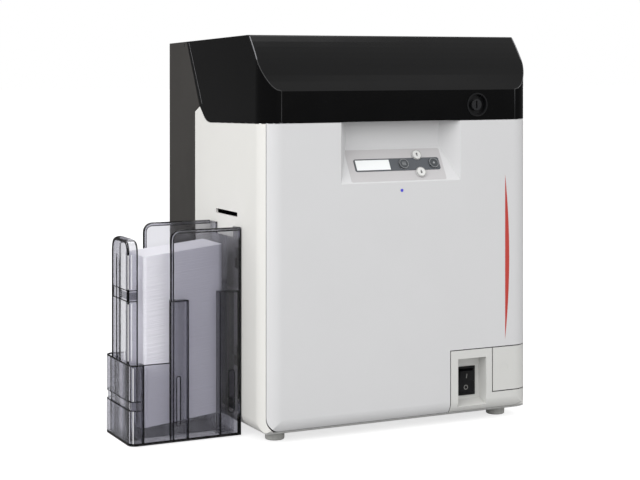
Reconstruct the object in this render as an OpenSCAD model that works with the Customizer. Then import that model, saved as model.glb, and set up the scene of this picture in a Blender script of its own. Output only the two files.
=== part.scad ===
// Desktop card printer with a side hopper, a hinged lid and a hinged front door.
// Millimetres, +Z up, front towards -Y, hopper on the -X side.
// The origin is at the middle of the footprint, on the surface that the feet stand on.

/* [Body] */
// Width of the printer body, without the hopper
body_w = 317; // [300:1:350]
// Depth of the printer body
body_d = 270; // [262:1:300]
// Height of the feet below the casing
foot_h = 8.5; // [7:0.5:12]
// Height of the front door's top edge above the casing's lower edge
door_h = 313.5; // [305:0.5:340]
// Height of the lid from its lower edge to its top, at the front
lid_h = 89; // [84:1:110]
// Wall of the moulded covers
wall = 2.5; // [2:0.1:3]
// Gap between neighbouring covers
seam = 0.5; // [0.4:0.1:1]
// Depth of the left and right side covers, from the front
side_d = 184; // [176:1:190]
// Radius of the casing's upright front corners
corner_r = 20; // [18:1:22]
// Radius of the casing's lower side edges, seen from the front
foot_edge_r = 14; // [8:1:15]
// Radius of the roll along the casing's lower front edge
front_roll_r = 16; // [12:1:18]

/* [Door] */
// Distance from the side faces to the door's upright edges
door_inset = 6; // [5.5:0.1:6.5]
// Radius of the door's lower corners, seen from the front
door_corner_r = 14; // [10:1:18]
// Height of the base tray's rolled edge below the door
lip_h = 4; // [3:0.5:5]
// Distance from the left face to the start of the recess
recess_x = 86.7; // [80:0.1:90]
// Width of the recess at the door's face
recess_w = 142; // [138:0.5:146]
// Depth of the recess
recess_d = 20; // [18:0.5:22]
// Height of the recess, from its lower edge to the door's top
recess_h = 63; // [60:1:66]
// Distance that each side wall of the recess slants inwards
recess_splay = 15; // [12:0.5:16]
// Height of the slanted panel
panel_rise = 35; // [34:0.5:37]

/* [Panel] */
// Width of the dark label strip
strip_w = 101; // [98:0.5:104]
// Height of the dark label strip, along the slope
strip_h = 14; // [12:0.5:16]
// Width of the display window
lcd_w = 39.5; // [34:0.5:42]
// Height of the display window, along the slope
lcd_h = 11.4; // [9:0.2:11.6]
// Distance from the panel's middle to the first button
first_button = 7; // [5:0.5:9]
// Distance between one button and the next
button_pitch = 18; // [17:0.5:19]
// Distance of the up and down buttons from the strip's middle, along the slope
arrow_rise = 10; // [9:0.5:11]
// Radius of the buttons
button_r = 5.4; // [4.5:0.1:5.6]
// Travel of the buttons
button_travel = 0.8; // [0.4:0.1:1]
// Radius of the status light
led_r = 1.6; // [1.2:0.1:2.5]

/* [Lid] */
// Height of the upright band along the lid's front
lid_band_h = 32; // [30:1:36]
// Distance from the front face to the top's front edge
lid_nose_d = 37; // [32:1:42]
// Fall of the top towards the back, in degrees
top_fall = 1.6; // [1:0.1:2]
// Radius along the lid's top front edge
lid_round_r = 4; // [3:0.5:6]
// Distance from the front face to the lid's hinge
lid_hinge_y = 216; // [214:1:220]
// Radius of the lid's hinge roll
lid_roll_r = 4; // [3.5:0.1:4.5]
// Radius of the lid's hinge pins
lid_pin_r = 2; // [1.6:0.1:2.2]
// Distance from the left face to the lock's centre
lock_x = 249.5; // [240:0.5:256]
// Radius of the lock's cup
lock_cup_r = 12.6; // [11:0.1:13]
// Radius of the lock's barrel
lock_barrel_r = 6; // [5:0.1:6.5]

/* [Switch and connectors] */
// Width of the fixed block at the lower right
block_w = 100; // [96:1:104]
// Height of the fixed block at the lower right
block_h = 66; // [62:1:70]
// Width of the switch recess
switch_recess_w = 35; // [33:0.5:37]
// Height of the switch recess
switch_recess_h = 57; // [54:1:60]
// Depth of the switch recess
switch_recess_d = 15; // [12:0.5:17]
// Width of the rocker
rocker_w = 17.5; // [16:0.5:19]
// Height of the rocker
rocker_h = 25.5; // [23:0.5:28]
// Angle that the rocker tips through
rocker_tip = 16; // [12:1:20]
// Width of the small cover at the corner
corner_cover_w = 48; // [44:0.5:52]
// Height of the small cover at the corner
corner_cover_h = 46.5; // [42:0.5:50]

/* [Cards and hopper] */
// Length of a card
card_l = 85.6; // [85:0.1:86]
// Width of a card
card_w = 54; // [53.5:0.1:54.5]
// Height of the stack of cards
stack_h = 172; // [120:1:176]
// Tilt of the stack of cards, in degrees
stack_tilt = 6; // [4:0.5:7]
// Reach of the hopper beyond the casing's left face
hopper_reach = 120; // [118:1:124]
// Width of the hopper, from front to back
hopper_w = 80; // [76:1:84]
// Height of the hopper's tall walls above its base
hopper_h = 213; // [206:1:220]
// Height of the hopper's low front wall above its base
hopper_low_h = 80; // [70:1:90]
// Wall of the hopper
hopper_wall = 2.4; // [2:0.1:2.8]
// Distance from the front face to the middle of the card path
card_path_y = 95; // [93:0.5:97]
// Width of the hopper's end post
post_w = 50; // [46:1:54]
// Height of the end post's top above the hopper's base
post_h = 204.5; // [190:1:206]
// Height of the cup round the post's foot
cup_h = 80; // [70:1:90]
// Width of the card slot in the left side
slot_w = 58; // [57:0.5:60]
// Height of the card slot in the left side
slot_h = 4.8; // [4.2:0.1:5.6]
// Height of the card slot's middle above the casing's lower edge
slot_z = 214; // [210:1:218]

/* [Mechanism] */
// Thickness of the chassis plate
plate_t = 2; // [1.5:0.1:2.5]
// Distance from the front face to the chassis plate
plate_y = 134; // [132:1:138]
// Radius of the spool cores
core_r = 13; // [11:0.5:14]
// Radius of a full ribbon roll
roll_r = 32; // [28:1:34]
// Length of the ribbon and film on the spools
web_w = 62; // [58:1:64]
// Radius of the spool spindles
spindle_r = 5; // [4.5:0.1:6]
// Radius of the print drum
drum_r = 21; // [18:1:23]
// Radius of the heat roller
heat_r = 18; // [15:1:20]
// Radius of the card feed rollers
feed_r = 8; // [7:0.5:9]
// Radius of the roller shafts
shaft_r = 4; // [3.5:0.1:4.2]
// Running clearance of a shaft in its bearing
run_fit = 0.05; // [0.03:0.01:0.08]
// Clearance between parts that turn past each other
free_gap = 0.4; // [0.3:0.1:0.8]
// Tooth module of the gears
gear_m = 1; // [0.8:0.05:1.1]
// Teeth of the feed roller gears
feed_teeth = 24; // [20:1:28]
// Side of the cooling fan
fan_w = 60; // [50:1:70]

/* [Hidden] */
$fn = 64;

// Heights above the surface that the feet stand on
casing_low = foot_h;
base_z = casing_low + 3.5;
shell_z = casing_low + lip_h;
door_top = casing_low + door_h;
door_low = shell_z + seam;
lid_low = door_top + seam;
lid_top = lid_low + lid_h;
block_top = base_z + block_h;
function top_z(y) = lid_top - max(0, y - lid_nose_d) * tan(top_fall);
lid_hinge_z = top_z(lid_hinge_y) - lid_roll_r;

// Slant of the wing's rear edge, and the places where it turns
wing_slant = 29;
wing_top_y = lid_hinge_y - lid_roll_r - 2.5;
wing_knee_h = 13;
wing_knee_z = lid_low + wing_knee_h;
wing_knee_y = wing_top_y - (top_z(wing_top_y) - wing_knee_z) * tan(wing_slant);
wing_heel = [29, 21, 14];
wing_heel_z = [-3.3, -2.2, 1];
tip_drop = 6;
tip_back = 9;

// Places in the mechanism, as [x, z]
card_z = shell_z + 2 * feed_r + 1.5;
card_t = 0.76;
ribbon_supply_at = [62, base_z + 254];
ribbon_takeup_at = [62, base_z + 176];
film_supply_at = [238, base_z + 246];
film_takeup_at = [238, base_z + 166];
drum_at = [130, base_z + 214];
entry_at = [48, card_z - feed_r - 0.3];
transfer_at = [150, card_z - feed_r - 0.3];
exit_at = [252, card_z - feed_r - 0.3];
heat_at = [150, card_z + card_t + heat_r + 0.3];
web_y0 = card_path_y - web_w / 2;
frame_x = 12;
frame_t = 1.6;
plate_gap = 3;
bracket_y = web_y0 - 6;

// Hinge axis of the door, a little behind its face near the left edge
door_axis = [corner_r - 5, 5.6];

// Hopper, with its base just above the feet's surface
hopper_z = 1.2;
hopper_gap = 0.4;
hopper_y0 = card_path_y - hopper_w / 2;
hopper_y1 = hopper_y0 + hopper_w;
hopper_top = hopper_z + hopper_h;
hopper_x = -hopper_reach;
tall_x = -hopper_gap - 77;
low_top = hopper_z + hopper_low_h;
stack_end = 16;
stack_x = -stack_end - card_l * cos(stack_tilt);
stack_low = hopper_z + hopper_wall + 12;
stack_rise = card_l * sin(stack_tilt);

// Hooks of the hopper: heights of their slots, and their size
hook_z = [base_z + 70, base_z + 170];
hook_y = 30;
hook_w = 8;
hook_h = 10;

origin_x = (body_w - hopper_reach) / 2;
origin_y = body_d / 2;

// Smallest overlap used when one shape is cut out of another
cut = 1;

module placed() {
    translate([-origin_x, -origin_y, 0]) children();
}

// A rectangle with round corners, from its lower left corner
module round_rect(w, h, r) {
    translate([r, 0]) square([w - 2 * r, h]);
    translate([0, r]) square([w, h - 2 * r]);
    for (x = [r, w - r], y = [r, h - r]) translate([x, y]) circle(r);
}

// A 2D outline in X and Z, pushed from y0 to y1
module along_y(y0, y1) {
    translate([0, y1, 0]) rotate([90, 0, 0]) linear_extrude(y1 - y0) children();
}

// A 2D outline in Y and Z, pushed from x0 to x1
module along_x(x0, x1) {
    translate([x0, 0, 0]) rotate([90, 0, 90]) linear_extrude(x1 - x0) children();
}

module rod_y(at, r, y0, y1) {
    translate([at[0], y1, at[1]]) rotate([90, 0, 0]) cylinder(r = r, h = y1 - y0);
}

module rod_x(at, r, x0, x1) {
    translate([x0, at[0], at[1]]) rotate([0, 90, 0]) cylinder(r = r, h = x1 - x0);
}

// Points of an arc about c, from angle a0 to a1
function arc(c, r, a0, a1, n) =
    [for (i = [0:n]) let (a = a0 + (a1 - a0) * i / n) [c[0] + r * cos(a), c[1] + r * sin(a)]];

// Plan of the casing, with round front corners of radius r, drawn in by t
module casing_plan(r, t = 0) {
    translate([t, r]) square([body_w - 2 * t, body_d - r - t]);
    translate([r, t]) square([body_w - 2 * r, r]);
    for (x = [r, body_w - r]) translate([x, r]) circle(r - t);
}

// Casing seen from the front, drawn in by t, with round lower edges
module casing_face(t) {
    translate([t, casing_low + foot_edge_r]) square([body_w - 2 * t, lid_top]);
    translate([foot_edge_r, casing_low + t]) square([body_w - 2 * foot_edge_r, foot_edge_r]);
    for (x = [foot_edge_r, body_w - foot_edge_r]) translate([x, casing_low + foot_edge_r]) circle(foot_edge_r - t);
}

// Casing from front to back, with the roll along its lower front edge
module casing_section(t) {
    translate([t, casing_low + front_roll_r]) square([body_d + cut, lid_top]);
    translate([front_roll_r, casing_low + t]) square([body_d, front_roll_r]);
    translate([front_roll_r, casing_low + front_roll_r]) circle(front_roll_r - t);
}

// The whole casing below the lid, drawn in by t: the covers, the door and the block are cut from its skin
module casing_form(t) intersection() {
    linear_extrude(lid_top) casing_plan(corner_r, t);
    along_y(-cut, body_d + cut) casing_face(t);
    along_x(-cut, body_w + cut) casing_section(t);
}
module casing_skin() difference() {
    casing_form(0);
    casing_form(wall);
}

// Lower and rear edge of the lid's wings, in Y and Z, moved out by g
function wing_edge(g) = concat(
    [[0, lid_low - g]],
    [for (i = [0:2]) [wing_knee_y - wing_heel[i] + g, lid_low + wing_heel_z[i] - g]],
    [[wing_knee_y + g, wing_knee_z - g / 2]],
    [[wing_top_y + g, top_z(wing_top_y)]]);

// Side profile of the lid's front, drawn in by t: band, swept nose and round top edge
band_top = lid_low + lid_band_h;
nose_turn = 18;
nose_lean = atan2(lid_top - band_top, lid_nose_d);
nose_r = norm([lid_nose_d, lid_top - band_top]) / (2 * sin(nose_turn / 2));
nose_end = nose_lean - nose_turn / 2;
nose_c = [lid_nose_d, lid_top] + nose_r * [sin(nose_end), -cos(nose_end)];
round_c = [lid_nose_d + lid_round_r * tan(nose_end / 2), lid_top - lid_round_r];
function lid_front(t) = concat(
    [[t, band_top - t / 2]],
    arc(nose_c, nose_r - t, 89 + nose_end + nose_turn, 90.5 + nose_end, 9),
    arc(round_c, lid_round_r - t, 90 + nose_end, 90, 4));
function backwards(p) = [for (i = [len(p) - 1:-1:0]) p[i]];

// The slanted panel's own frame: x along it, y up the slope, z out of its face
recess_low = door_top - recess_h;
panel_tilt = atan2(panel_rise, recess_d);
panel_mid = recess_x + recess_w / 2;
strip_s = 20.3;
strip_t = 0.8;
module on_panel(x, s, up = 0) {
    translate([panel_mid + x, 0, recess_low]) rotate([panel_tilt, 0, 0]) translate([0, s, up]) children();
}
button_x = [first_button, first_button + 2 * button_pitch, first_button + button_pitch, first_button + button_pitch];
button_s = [strip_s, strip_s, strip_s + arrow_rise, strip_s - arrow_rise];
stem_r = 2.2;
stem_gap = 0.3;
cap_t = 1.4;

module base_tray() color("#DEDEDC") placed() {
    intersection() {
        casing_form(0);
        linear_extrude(shell_z) rear_plan(0);
    }
    translate([frame_x + 12, body_d - 12, shell_z]) cube([body_w - 2 * frame_x - 24, 2, 10]);
    for (x = [frame_x + 12, body_w - frame_x - 14]) translate([x, plate_y + 12, shell_z])
        cube([2, body_d - 12 - plate_y - 12, 10]);
}

module rubber_feet() color("#2B2B2D") placed() {
    foot_r = 10;
    for (x = [26, body_w - 26], y = [30, body_d - 26]) translate([x, y, 0]) rotate_extrude() union() {
        square([foot_r - 1.5, foot_h]);
        translate([0, 1.5]) square([foot_r, foot_h - 1.5]);
        translate([foot_r - 1.5, 1.5]) circle(1.5);
    }
}

// Outline of a side cover, in Y and Z: up to the lid's wing and back to the rear housing
cover_low = shell_z + 0.3;
function cover_outline() = concat(
    [[-cut, cover_low], [side_d, cover_low], [side_d, wing_knee_z - tip_drop]],
    backwards([for (p = wing_edge(seam)) if (p[1] < wing_knee_z) p]),
    [[-cut, lid_low - seam]]);

// What lies behind the door and the block, grown by g: the covers end round it
front_depth = front_roll_r - 2;
module front_field(g) along_y(-cut, front_depth) difference() {
    translate([door_inset - g, 0]) square([body_w - 2 * door_inset + 2 * g, lid_top + cut]);
    for (m = [0, 1]) translate([m * body_w, 0]) mirror([m, 0]) difference() {
        translate([-cut, -cut]) square([door_inset + door_corner_r + cut, door_low + door_corner_r + cut]);
        translate([door_inset - g, door_low + door_corner_r]) square(2 * door_corner_r);
        translate([door_inset + door_corner_r, door_low - g]) square(2 * door_corner_r);
        // The door's corner swings out at the left, so the cover there is cut lower
        translate([door_inset + door_corner_r, door_low + door_corner_r - (m == 0 ? 1.2 : 0)])
            circle(door_corner_r + g);
    }
}

module side_cover(x0, x1) difference() {
    intersection() {
        casing_skin();
        along_x(x0, x1) polygon(cover_outline());
    }
    front_field(seam);
}

module left_side_cover() color("#E5E4E0") placed() difference() {
    side_cover(-cut, body_w / 4);
    along_x(-cut, wall + cut) translate([card_path_y - slot_w / 2, base_z + slot_z - slot_h / 2])
        round_rect(slot_w, slot_h, 1.6);
    along_x(-cut, wall + cut) translate([card_path_y - card_w / 2 - 2, card_z - 8])
        square([card_w + 4, 14]);
    for (z = hook_z, s = [-1, 1]) along_x(-cut, wall + cut)
        translate([card_path_y + s * hook_y - hook_w / 2 - hopper_gap, z - hook_h - 1])
        square([hook_w + 2 * hopper_gap, 2 * hook_h + 2]);
}

module right_side_cover() color("#E5E4E0") placed() side_cover(3 * body_w / 4, body_w + cut);

// Plan of the rear housing with round rear corners, drawn in by t
rear_r = 8;
module rear_plan(t) {
    translate([t, 0]) square([body_w - 2 * t, body_d - rear_r]);
    translate([rear_r, 0]) square([body_w - 2 * rear_r, body_d - t]);
    for (x = [rear_r, body_w - rear_r]) translate([x, body_d - rear_r]) circle(rear_r - t);
}
rear_top_y = lid_hinge_y + lid_roll_r + seam;

module rear_housing() color("#45433F") placed() difference() {
    intersection() {
        along_x(0, body_w) polygon([
            [side_d + seam, cover_low], [body_d, cover_low], [body_d, top_z(body_d)],
            [wing_top_y + seam, top_z(wing_top_y + seam)],
            [wing_knee_y + 2 * seam + 0.6, wing_knee_z + 0.3],
            [side_d + seam, wing_knee_z - tip_drop + seam]]);
        linear_extrude(lid_top) rear_plan(0);
        along_y(0, body_d + cut) casing_face(0);
    }
    intersection() {
        along_x(wall, body_w - wall) polygon([
            [0, 0], [body_d - wall, 0], [body_d - wall, top_z(body_d) - wall],
            [rear_top_y, top_z(rear_top_y) - wall], [rear_top_y, lid_top + cut], [0, lid_top + cut]]);
        linear_extrude(lid_top + 2 * cut) rear_plan(wall);
        along_y(0, body_d + cut) casing_face(wall);
    }
    rod_x([lid_hinge_y, lid_hinge_z], lid_pin_r, -cut, body_w + cut);
    // Vents in the back and in both sides
    for (i = [0:11]) translate([60 + i * 9, body_d - wall - cut, base_z + 250]) cube([4, wall + 2 * cut, 90]);
    for (i = [0:vents - 1], x = [-cut, body_w - wall - cut])
        translate([x, side_d + vent_in + i * vent_pitch, base_z + 60]) cube([wall + 2 * cut, 3.5, 60]);
    // Grille in front of the fan
    for (i = [-3:3]) translate([fan_at[0] - fan_w / 2 + 6, body_d - wall - cut, fan_at[1] + i * 7 - 2])
        cube([fan_w - 12, wall + 2 * cut, 4]);
    // Openings for the power inlet and the data sockets
    translate([inlet_x, body_d - wall - cut, port_z]) cube([inlet_w, wall + 2 * cut, inlet_h]);
    for (i = [0:len(socket_w) - 1])
        translate([socket_x[i], body_d - wall - cut, port_z]) cube([socket_w[i], wall + 2 * cut, socket_h[i]]);
}
// As many side vents as the housing's sides have room for
vent_in = 16;
vent_pitch = 8;
vents = floor((body_d - side_d - 2 * vent_in + 2) / vent_pitch) + 1;
port_z = base_z + 24;
inlet_x = 36;
inlet_w = 28;
inlet_h = 21;
inlet_deep = 25;
inlet_y = body_d - 1 - inlet_deep;
socket_x = [90, 114];
socket_w = [13, 17];
socket_h = [12, 15];
fan_at = [236, base_z + 110];

module power_inlet() color("#1D1D1F") placed() difference() {
    gap = 0.2;
    union() {
        translate([inlet_x + gap, inlet_y, port_z + gap])
            cube([inlet_w - 2 * gap, inlet_deep, inlet_h - 2 * gap]);
        translate([inlet_x - 3, body_d - wall - 2, port_z - 3]) cube([inlet_w + 6, 2, inlet_h + 6]);
    }
    translate([inlet_x + 2.5, inlet_y + 9, port_z + 2.5]) cube([inlet_w - 5, inlet_deep, inlet_h - 5]);
}

module data_sockets() color("#B9BCC0") placed() for (i = [0:len(socket_w) - 1]) difference() {
    gap = 0.2;
    translate([socket_x[i] + gap, body_d - 18, port_z + gap])
        cube([socket_w[i] - 2 * gap, 17.5, socket_h[i] - 2 * gap]);
    translate([socket_x[i] + 1.5, body_d - 15, port_z + 1.5])
        cube([socket_w[i] - 3, 16, socket_h[i] - 3]);
}

// Door outline seen from the front, with room for the fixed block
block_gap = 1;
module door_face() difference() {
    intersection() {
        square([body_w, door_top]);
        union() {
            translate([door_inset, door_low + door_corner_r]) square([body_w - 2 * door_inset, door_top]);
            translate([door_inset + door_corner_r, door_low]) square([body_w, door_top]);
            translate([door_inset + door_corner_r, door_low + door_corner_r]) circle(door_corner_r);
        }
        square([body_w - door_inset, door_top]);
    }
    translate([body_w - block_w - block_gap, 0]) square([block_w + block_gap, block_top + block_gap]);
}
module door_zone(depth) along_y(-cut, depth) door_face();

// Space of the recess; with t it grows into the solid that its walls are cut from
module recess_form(t) {
    slide_x = t / cos(atan2(recess_splay, recess_d));
    drop = t / cos(panel_tilt);
    y0 = t > 0 ? wall / 2 : -cut;
    y1 = recess_d + t;
    splay = recess_splay / recess_d;
    rise = panel_rise / recess_d;
    intersection() {
        linear_extrude(door_top + (t > 0 ? 0 : cut)) polygon([
            [recess_x - slide_x + splay * y0, y0], [recess_x + recess_w + slide_x - splay * y0, y0],
            [recess_x + recess_w + slide_x - splay * y1, y1], [recess_x - slide_x + splay * y1, y1]]);
        along_x(0, body_w) polygon([
            [y0, recess_low - drop + rise * y0], [y1, recess_low - drop + rise * y1],
            [y1, door_top + cut], [y0, door_top + cut]]);
    }
}

door_pin_r = 1.5;
door_boss_r = 3.5;
door_boss_h = 14;
door_boss_top = door_top - wall;
ear_top = door_boss_top - door_boss_h - free_gap;
ear_t = 3;
ear_r = 3.2;
low_ear = base_z + 30;
door_boss_low = low_ear + ear_t + free_gap;
module at_door_axis(z) translate([door_axis[0], door_axis[1], z]) children();

module front_door() color("#D8D8DA") placed() difference() {
    union() {
        intersection() {
            casing_skin();
            door_zone(front_depth);
        }
        // Top flange, edge ribs and the bosses of the hinge
        intersection() {
            casing_form(0);
            door_zone(door_flange);
            union() {
                translate([0, 0, door_top - wall]) cube([body_w, door_flange, wall]);
                at_door_axis(door_boss_low) cylinder(r = door_boss_r, h = door_boss_h);
                at_door_axis(door_boss_top - door_boss_h) cylinder(r = door_boss_r, h = door_boss_h);
                translate([body_w - door_inset - 14, 0, block_top + 20])
                    cube([2, door_flange - 1, door_top - block_top - 20]);
            }
        }
        recess_form(wall);
    }
    recess_form(0);
    for (z = [low_ear, bar_low]) at_door_axis(z - free_gap)
        cylinder(r = ear_r + free_gap, h = ear_t + 2 * free_gap);
    at_door_axis(low_ear) cylinder(r = door_pin_r + run_fit, h = ear_t + door_boss_h - 2);
    at_door_axis(bar_low) cylinder(r = door_pin_r + run_fit, h = ear_t + door_boss_h - 2);
    for (i = [0:3]) on_panel(button_x[i], button_s[i], -3 * wall) cylinder(r = stem_r + stem_gap, h = 5 * wall);
    rod_y([panel_mid, recess_low - 8.5], led_r + 0.05, -cut, wall + cut);
}
door_flange = 9;

pin_reach = 3;
module door_hinge_pins() color("silver") placed() for (z = [low_ear, bar_low])
    at_door_axis(z) cylinder(r = door_pin_r, h = ear_t + free_gap + door_boss_h - pin_reach);

module label_strip() color("#4A4E52") placed() difference() {
    on_panel(-strip_w / 2, strip_s - strip_h / 2) linear_extrude(strip_t) round_rect(strip_w, strip_h, 2);
    on_panel(lcd_from - 0.15, strip_s - lcd_h / 2 - 0.15, -cut) cube([lcd_w + 0.3, lcd_h + 0.3, 3]);
    for (i = [0:3]) on_panel(button_x[i], button_s[i], -cut) cylinder(r = button_r + stem_gap, h = 4);
}
lcd_from = 1.6 - strip_w / 2;

module display_window() color("#F4F6F6") placed()
    on_panel(lcd_from, strip_s - lcd_h / 2) cube([lcd_w, lcd_h, strip_t]);

// A round button on a stem: i picks its place
module button(i, shade) color(shade) placed() on_panel(button_x[i], button_s[i]) {
    translate([0, 0, button_travel + 0.2]) cylinder(r = button_r, h = cap_t);
    translate([0, 0, -wall - 1.5]) cylinder(r = stem_r, h = wall + 2 + button_travel);
}
module menu_button() button(0, "#3C4044");
module set_button() button(1, "#3C4044");
module up_button() button(2, "#C9CACA");
module down_button() button(3, "#C9CACA");

module status_light() color("#3A54E8") placed()
    rod_y([panel_mid, recess_low - 8.5], led_r, -0.3, wall + 1);

// The lid's walls as one closed form
module lid_solid() intersection() {
    along_x(0, body_w) polygon(concat(wing_edge(0), backwards(lid_front(0))));
    linear_extrude(lid_top + cut) casing_plan(corner_r);
}
module lid_hollow() intersection() {
    along_x(wall, body_w - wall) polygon(concat(
        [[wall, lid_low - wing_knee_h]], lid_front(wall),
        [[lid_hinge_y, top_z(lid_hinge_y) - wall], [lid_hinge_y, lid_low - wing_knee_h]]));
    linear_extrude(lid_top + cut) casing_plan(corner_r, wall);
}
roll_x = wall + seam;
lid_pin_l = 14;
lock_z = lid_low + lid_band_h / 2;

module top_lid() color("#1A1A1B") placed() difference() {
    union() {
        difference() {
            lid_solid();
            lid_hollow();
        }
        along_x(roll_x, body_w - roll_x) polygon([
            [wing_top_y - cut, top_z(wing_top_y - cut) - wall], [lid_hinge_y, top_z(lid_hinge_y) - wall],
            [lid_hinge_y, top_z(lid_hinge_y)], [wing_top_y - cut, top_z(wing_top_y - cut)]]);
        rod_x([lid_hinge_y, lid_hinge_z], lid_roll_r, roll_x, body_w - roll_x);
    }
    for (x = [roll_x - cut, body_w - roll_x - lid_pin_l])
        rod_x([lid_hinge_y, lid_hinge_z], lid_pin_r + run_fit, x, x + lid_pin_l + cut);
    rod_y([lock_x, lock_z], lock_cup_r, -cut, 2 * wall);
}

module lid_hinge_pins() color("silver") placed() {
    pin_end = roll_x + lid_pin_l - 1;
    rod_x([lid_hinge_y, lid_hinge_z], lid_pin_r, 0.4, pin_end);
    rod_x([lid_hinge_y, lid_hinge_z], lid_pin_r, body_w - pin_end, body_w - 0.4);
}

cup_wall = 1.4;
cup_deep = 5;
cam_y = 29.5;
cam_t = 2;
module lock_cup() color("#101011") placed() difference() {
    union() {
        rod_y([lock_x, lock_z], lock_cup_r, -0.5, cup_deep + cup_wall);
        rod_y([lock_x, lock_z], lock_barrel_r + 2.5, cup_deep, cam_y - 6);
    }
    rod_y([lock_x, lock_z], lock_cup_r - cup_wall, -cut, cup_deep);
    rod_y([lock_x, lock_z], lock_barrel_r + run_fit, -cut, cam_y);
}

module lock_barrel() color("#2A2A2C") placed() difference() {
    union() {
        rod_y([lock_x, lock_z], lock_barrel_r, 1, cam_y);
        rod_y([lock_x, lock_z], 3, cam_y - cut, cam_y + cam_t);
        translate([lock_x - 17, cam_y, lock_z - 4]) cube([17, cam_t, 8]);
    }
    translate([lock_x - 0.9, 0, lock_z - 4]) cube([1.8, 6, 8]);
}

// The fixed block at the lower right, drawn in by t
block_d = 33.6;
module block_face(t) intersection() {
    translate([body_w - block_w + t, door_low + t]) square([block_w - door_inset - 2 * t, block_top - door_low - 2 * t]);
    union() {
        square([body_w - door_inset - door_corner_r, block_top]);
        translate([0, door_low + door_corner_r]) square([body_w, block_top]);
        translate([body_w - door_inset - door_corner_r, door_low + door_corner_r]) circle(door_corner_r - t);
    }
}
module block_form(t) intersection() {
    casing_form(t);
    along_y(-cut, block_d + (t > 0 ? cut : 0)) block_face(t);
}
corner_gap = 1;
module corner_zone(g) translate([body_w - corner_cover_w - g, -cut, block_top - corner_cover_h - g])
    cube([corner_cover_w + 2 * g, front_depth + cut, corner_cover_h + 2 * g]);

recess_left = body_w - block_w + 8.8;
rocker_at = [recess_left + switch_recess_w / 2, base_z + 30.5];
module switch_recess(t) {
    y0 = t > 0 ? wall / 2 : -cut;
    y1 = switch_recess_d + t;
    along_x(recess_left - t, recess_left + switch_recess_w + t) polygon([
        [y0, base_z + 5.5 - t], [y1, base_z + 11.5 - t], [y1, base_z + switch_recess_h + t],
        [y0, base_z + switch_recess_h + t]]);
}
rocker_gap = 0.3;
insert_wall = 1.3;
insert_w = rocker_w + 2 * (rocker_gap + insert_wall);
insert_h = rocker_h + 2 * (rocker_gap + insert_wall);
module centred_box(at, w, h, y0, y1) translate([at[0] - w / 2, y0, at[1] - h / 2]) cube([w, y1 - y0, h]);

module switch_housing() color("#E2E2E1") placed() difference() {
    union() {
        difference() {
            block_form(0);
            block_form(wall);
        }
        intersection() {
            difference() {
                block_form(wall / 2);
                block_form(2 * wall);
            }
            corner_zone(wall);
        }
        intersection() {
            block_form(0);
            switch_recess(wall);
        }
    }
    switch_recess(0);
    difference() {
        corner_zone(corner_gap);
        block_form(wall + 0.1);
    }
    centred_box(rocker_at, insert_w + 0.1, insert_h + 0.1, 0, block_d);
}

module corner_cover() color("#E2E2E1") placed() difference() {
    intersection() {
        difference() {
            block_form(0);
            block_form(wall);
        }
        corner_zone(-0.1);
    }
    rod_y([body_w - 0.7 * corner_cover_w, block_top - corner_cover_h / 2], 5, -cut, 0.3);
}

rocker_y = switch_recess_d + 3;
rocker_face = 6.5;
module switch_insert() color("#141415") placed() difference() {
    union() {
        centred_box(rocker_at, insert_w + 2, insert_h + 2, switch_recess_d - 1.8, switch_recess_d);
        centred_box(rocker_at, insert_w, insert_h, switch_recess_d - 1, switch_recess_d + 16);
    }
    centred_box(rocker_at, rocker_w + 2 * rocker_gap, rocker_h + 2 * rocker_gap, 0, switch_recess_d + 11);
    rod_x([rocker_y, rocker_at[1]], 1.5 + run_fit, rocker_at[0] - insert_w, rocker_at[0] + insert_w);
}

module rocker_switch() color("#0E0E0F") placed()
    translate([rocker_at[0], rocker_y, rocker_at[1]]) rotate([rocker_tip / 2, 0, 0]) {
        half = rocker_h / 2 - 0.9;
        along_x(-rocker_w / 2, rocker_w / 2) polygon([
            [-rocker_face, -half], [-rocker_face + 1.6, 0], [-rocker_face, half],
            [2, half], [3.5, 0], [2, -half]]);
        rod_x([0, 0], 1.5, -insert_w / 2, insert_w / 2);
    }

// Upright frames at both sides
frame_y0 = 34;
bar_low = ear_top - ear_t;
bar_h = 14;
module side_frame(x) along_x(x, x + frame_t) difference() {
    polygon([[frame_y0, shell_z], [body_d - 14, shell_z], [body_d - 14, base_z + 180],
        [body_d - 60, bar_low + bar_h], [frame_y0 - 7, bar_low + bar_h], [frame_y0 - 7, bar_low - 20],
        [frame_y0, bar_low - 30]]);
    translate([card_path_y - card_w / 2 - 3, card_z - 6]) square([card_w + 6, 18]);
    translate([card_path_y - slot_w / 2 - 2, base_z + slot_z - 8]) square([slot_w + 4, 16]);
    translate([plate_y + 22, base_z + 60]) round_rect(70, 100, 8);
}

// Ear of a door hinge: a ring on the pin, and an arm clear of the door's swing, back to y1
module hinge_ear(z, back) translate([0, 0, z]) linear_extrude(ear_t) difference() {
    union() {
        translate(door_axis) circle(ear_r);
        polygon(concat([for (p = [[2.9, -1.3], [11, 2.4]]) door_axis + p], back,
            [for (p = [[7, 7.7], [2.1, 2.4]]) door_axis + p]));
    }
    translate(door_axis) circle(door_pin_r);
}
module left_frame() color("#A9ADB0") placed() {
    side_frame(frame_x);
    hinge_ear(low_ear, [[26, 30], [frame_x + frame_t, 44], [frame_x + frame_t - 0.8, 44], [frame_x + frame_t - 0.8, 30]]);
}
module right_frame() color("#A9ADB0") placed() side_frame(body_w - frame_x - frame_t);

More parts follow.
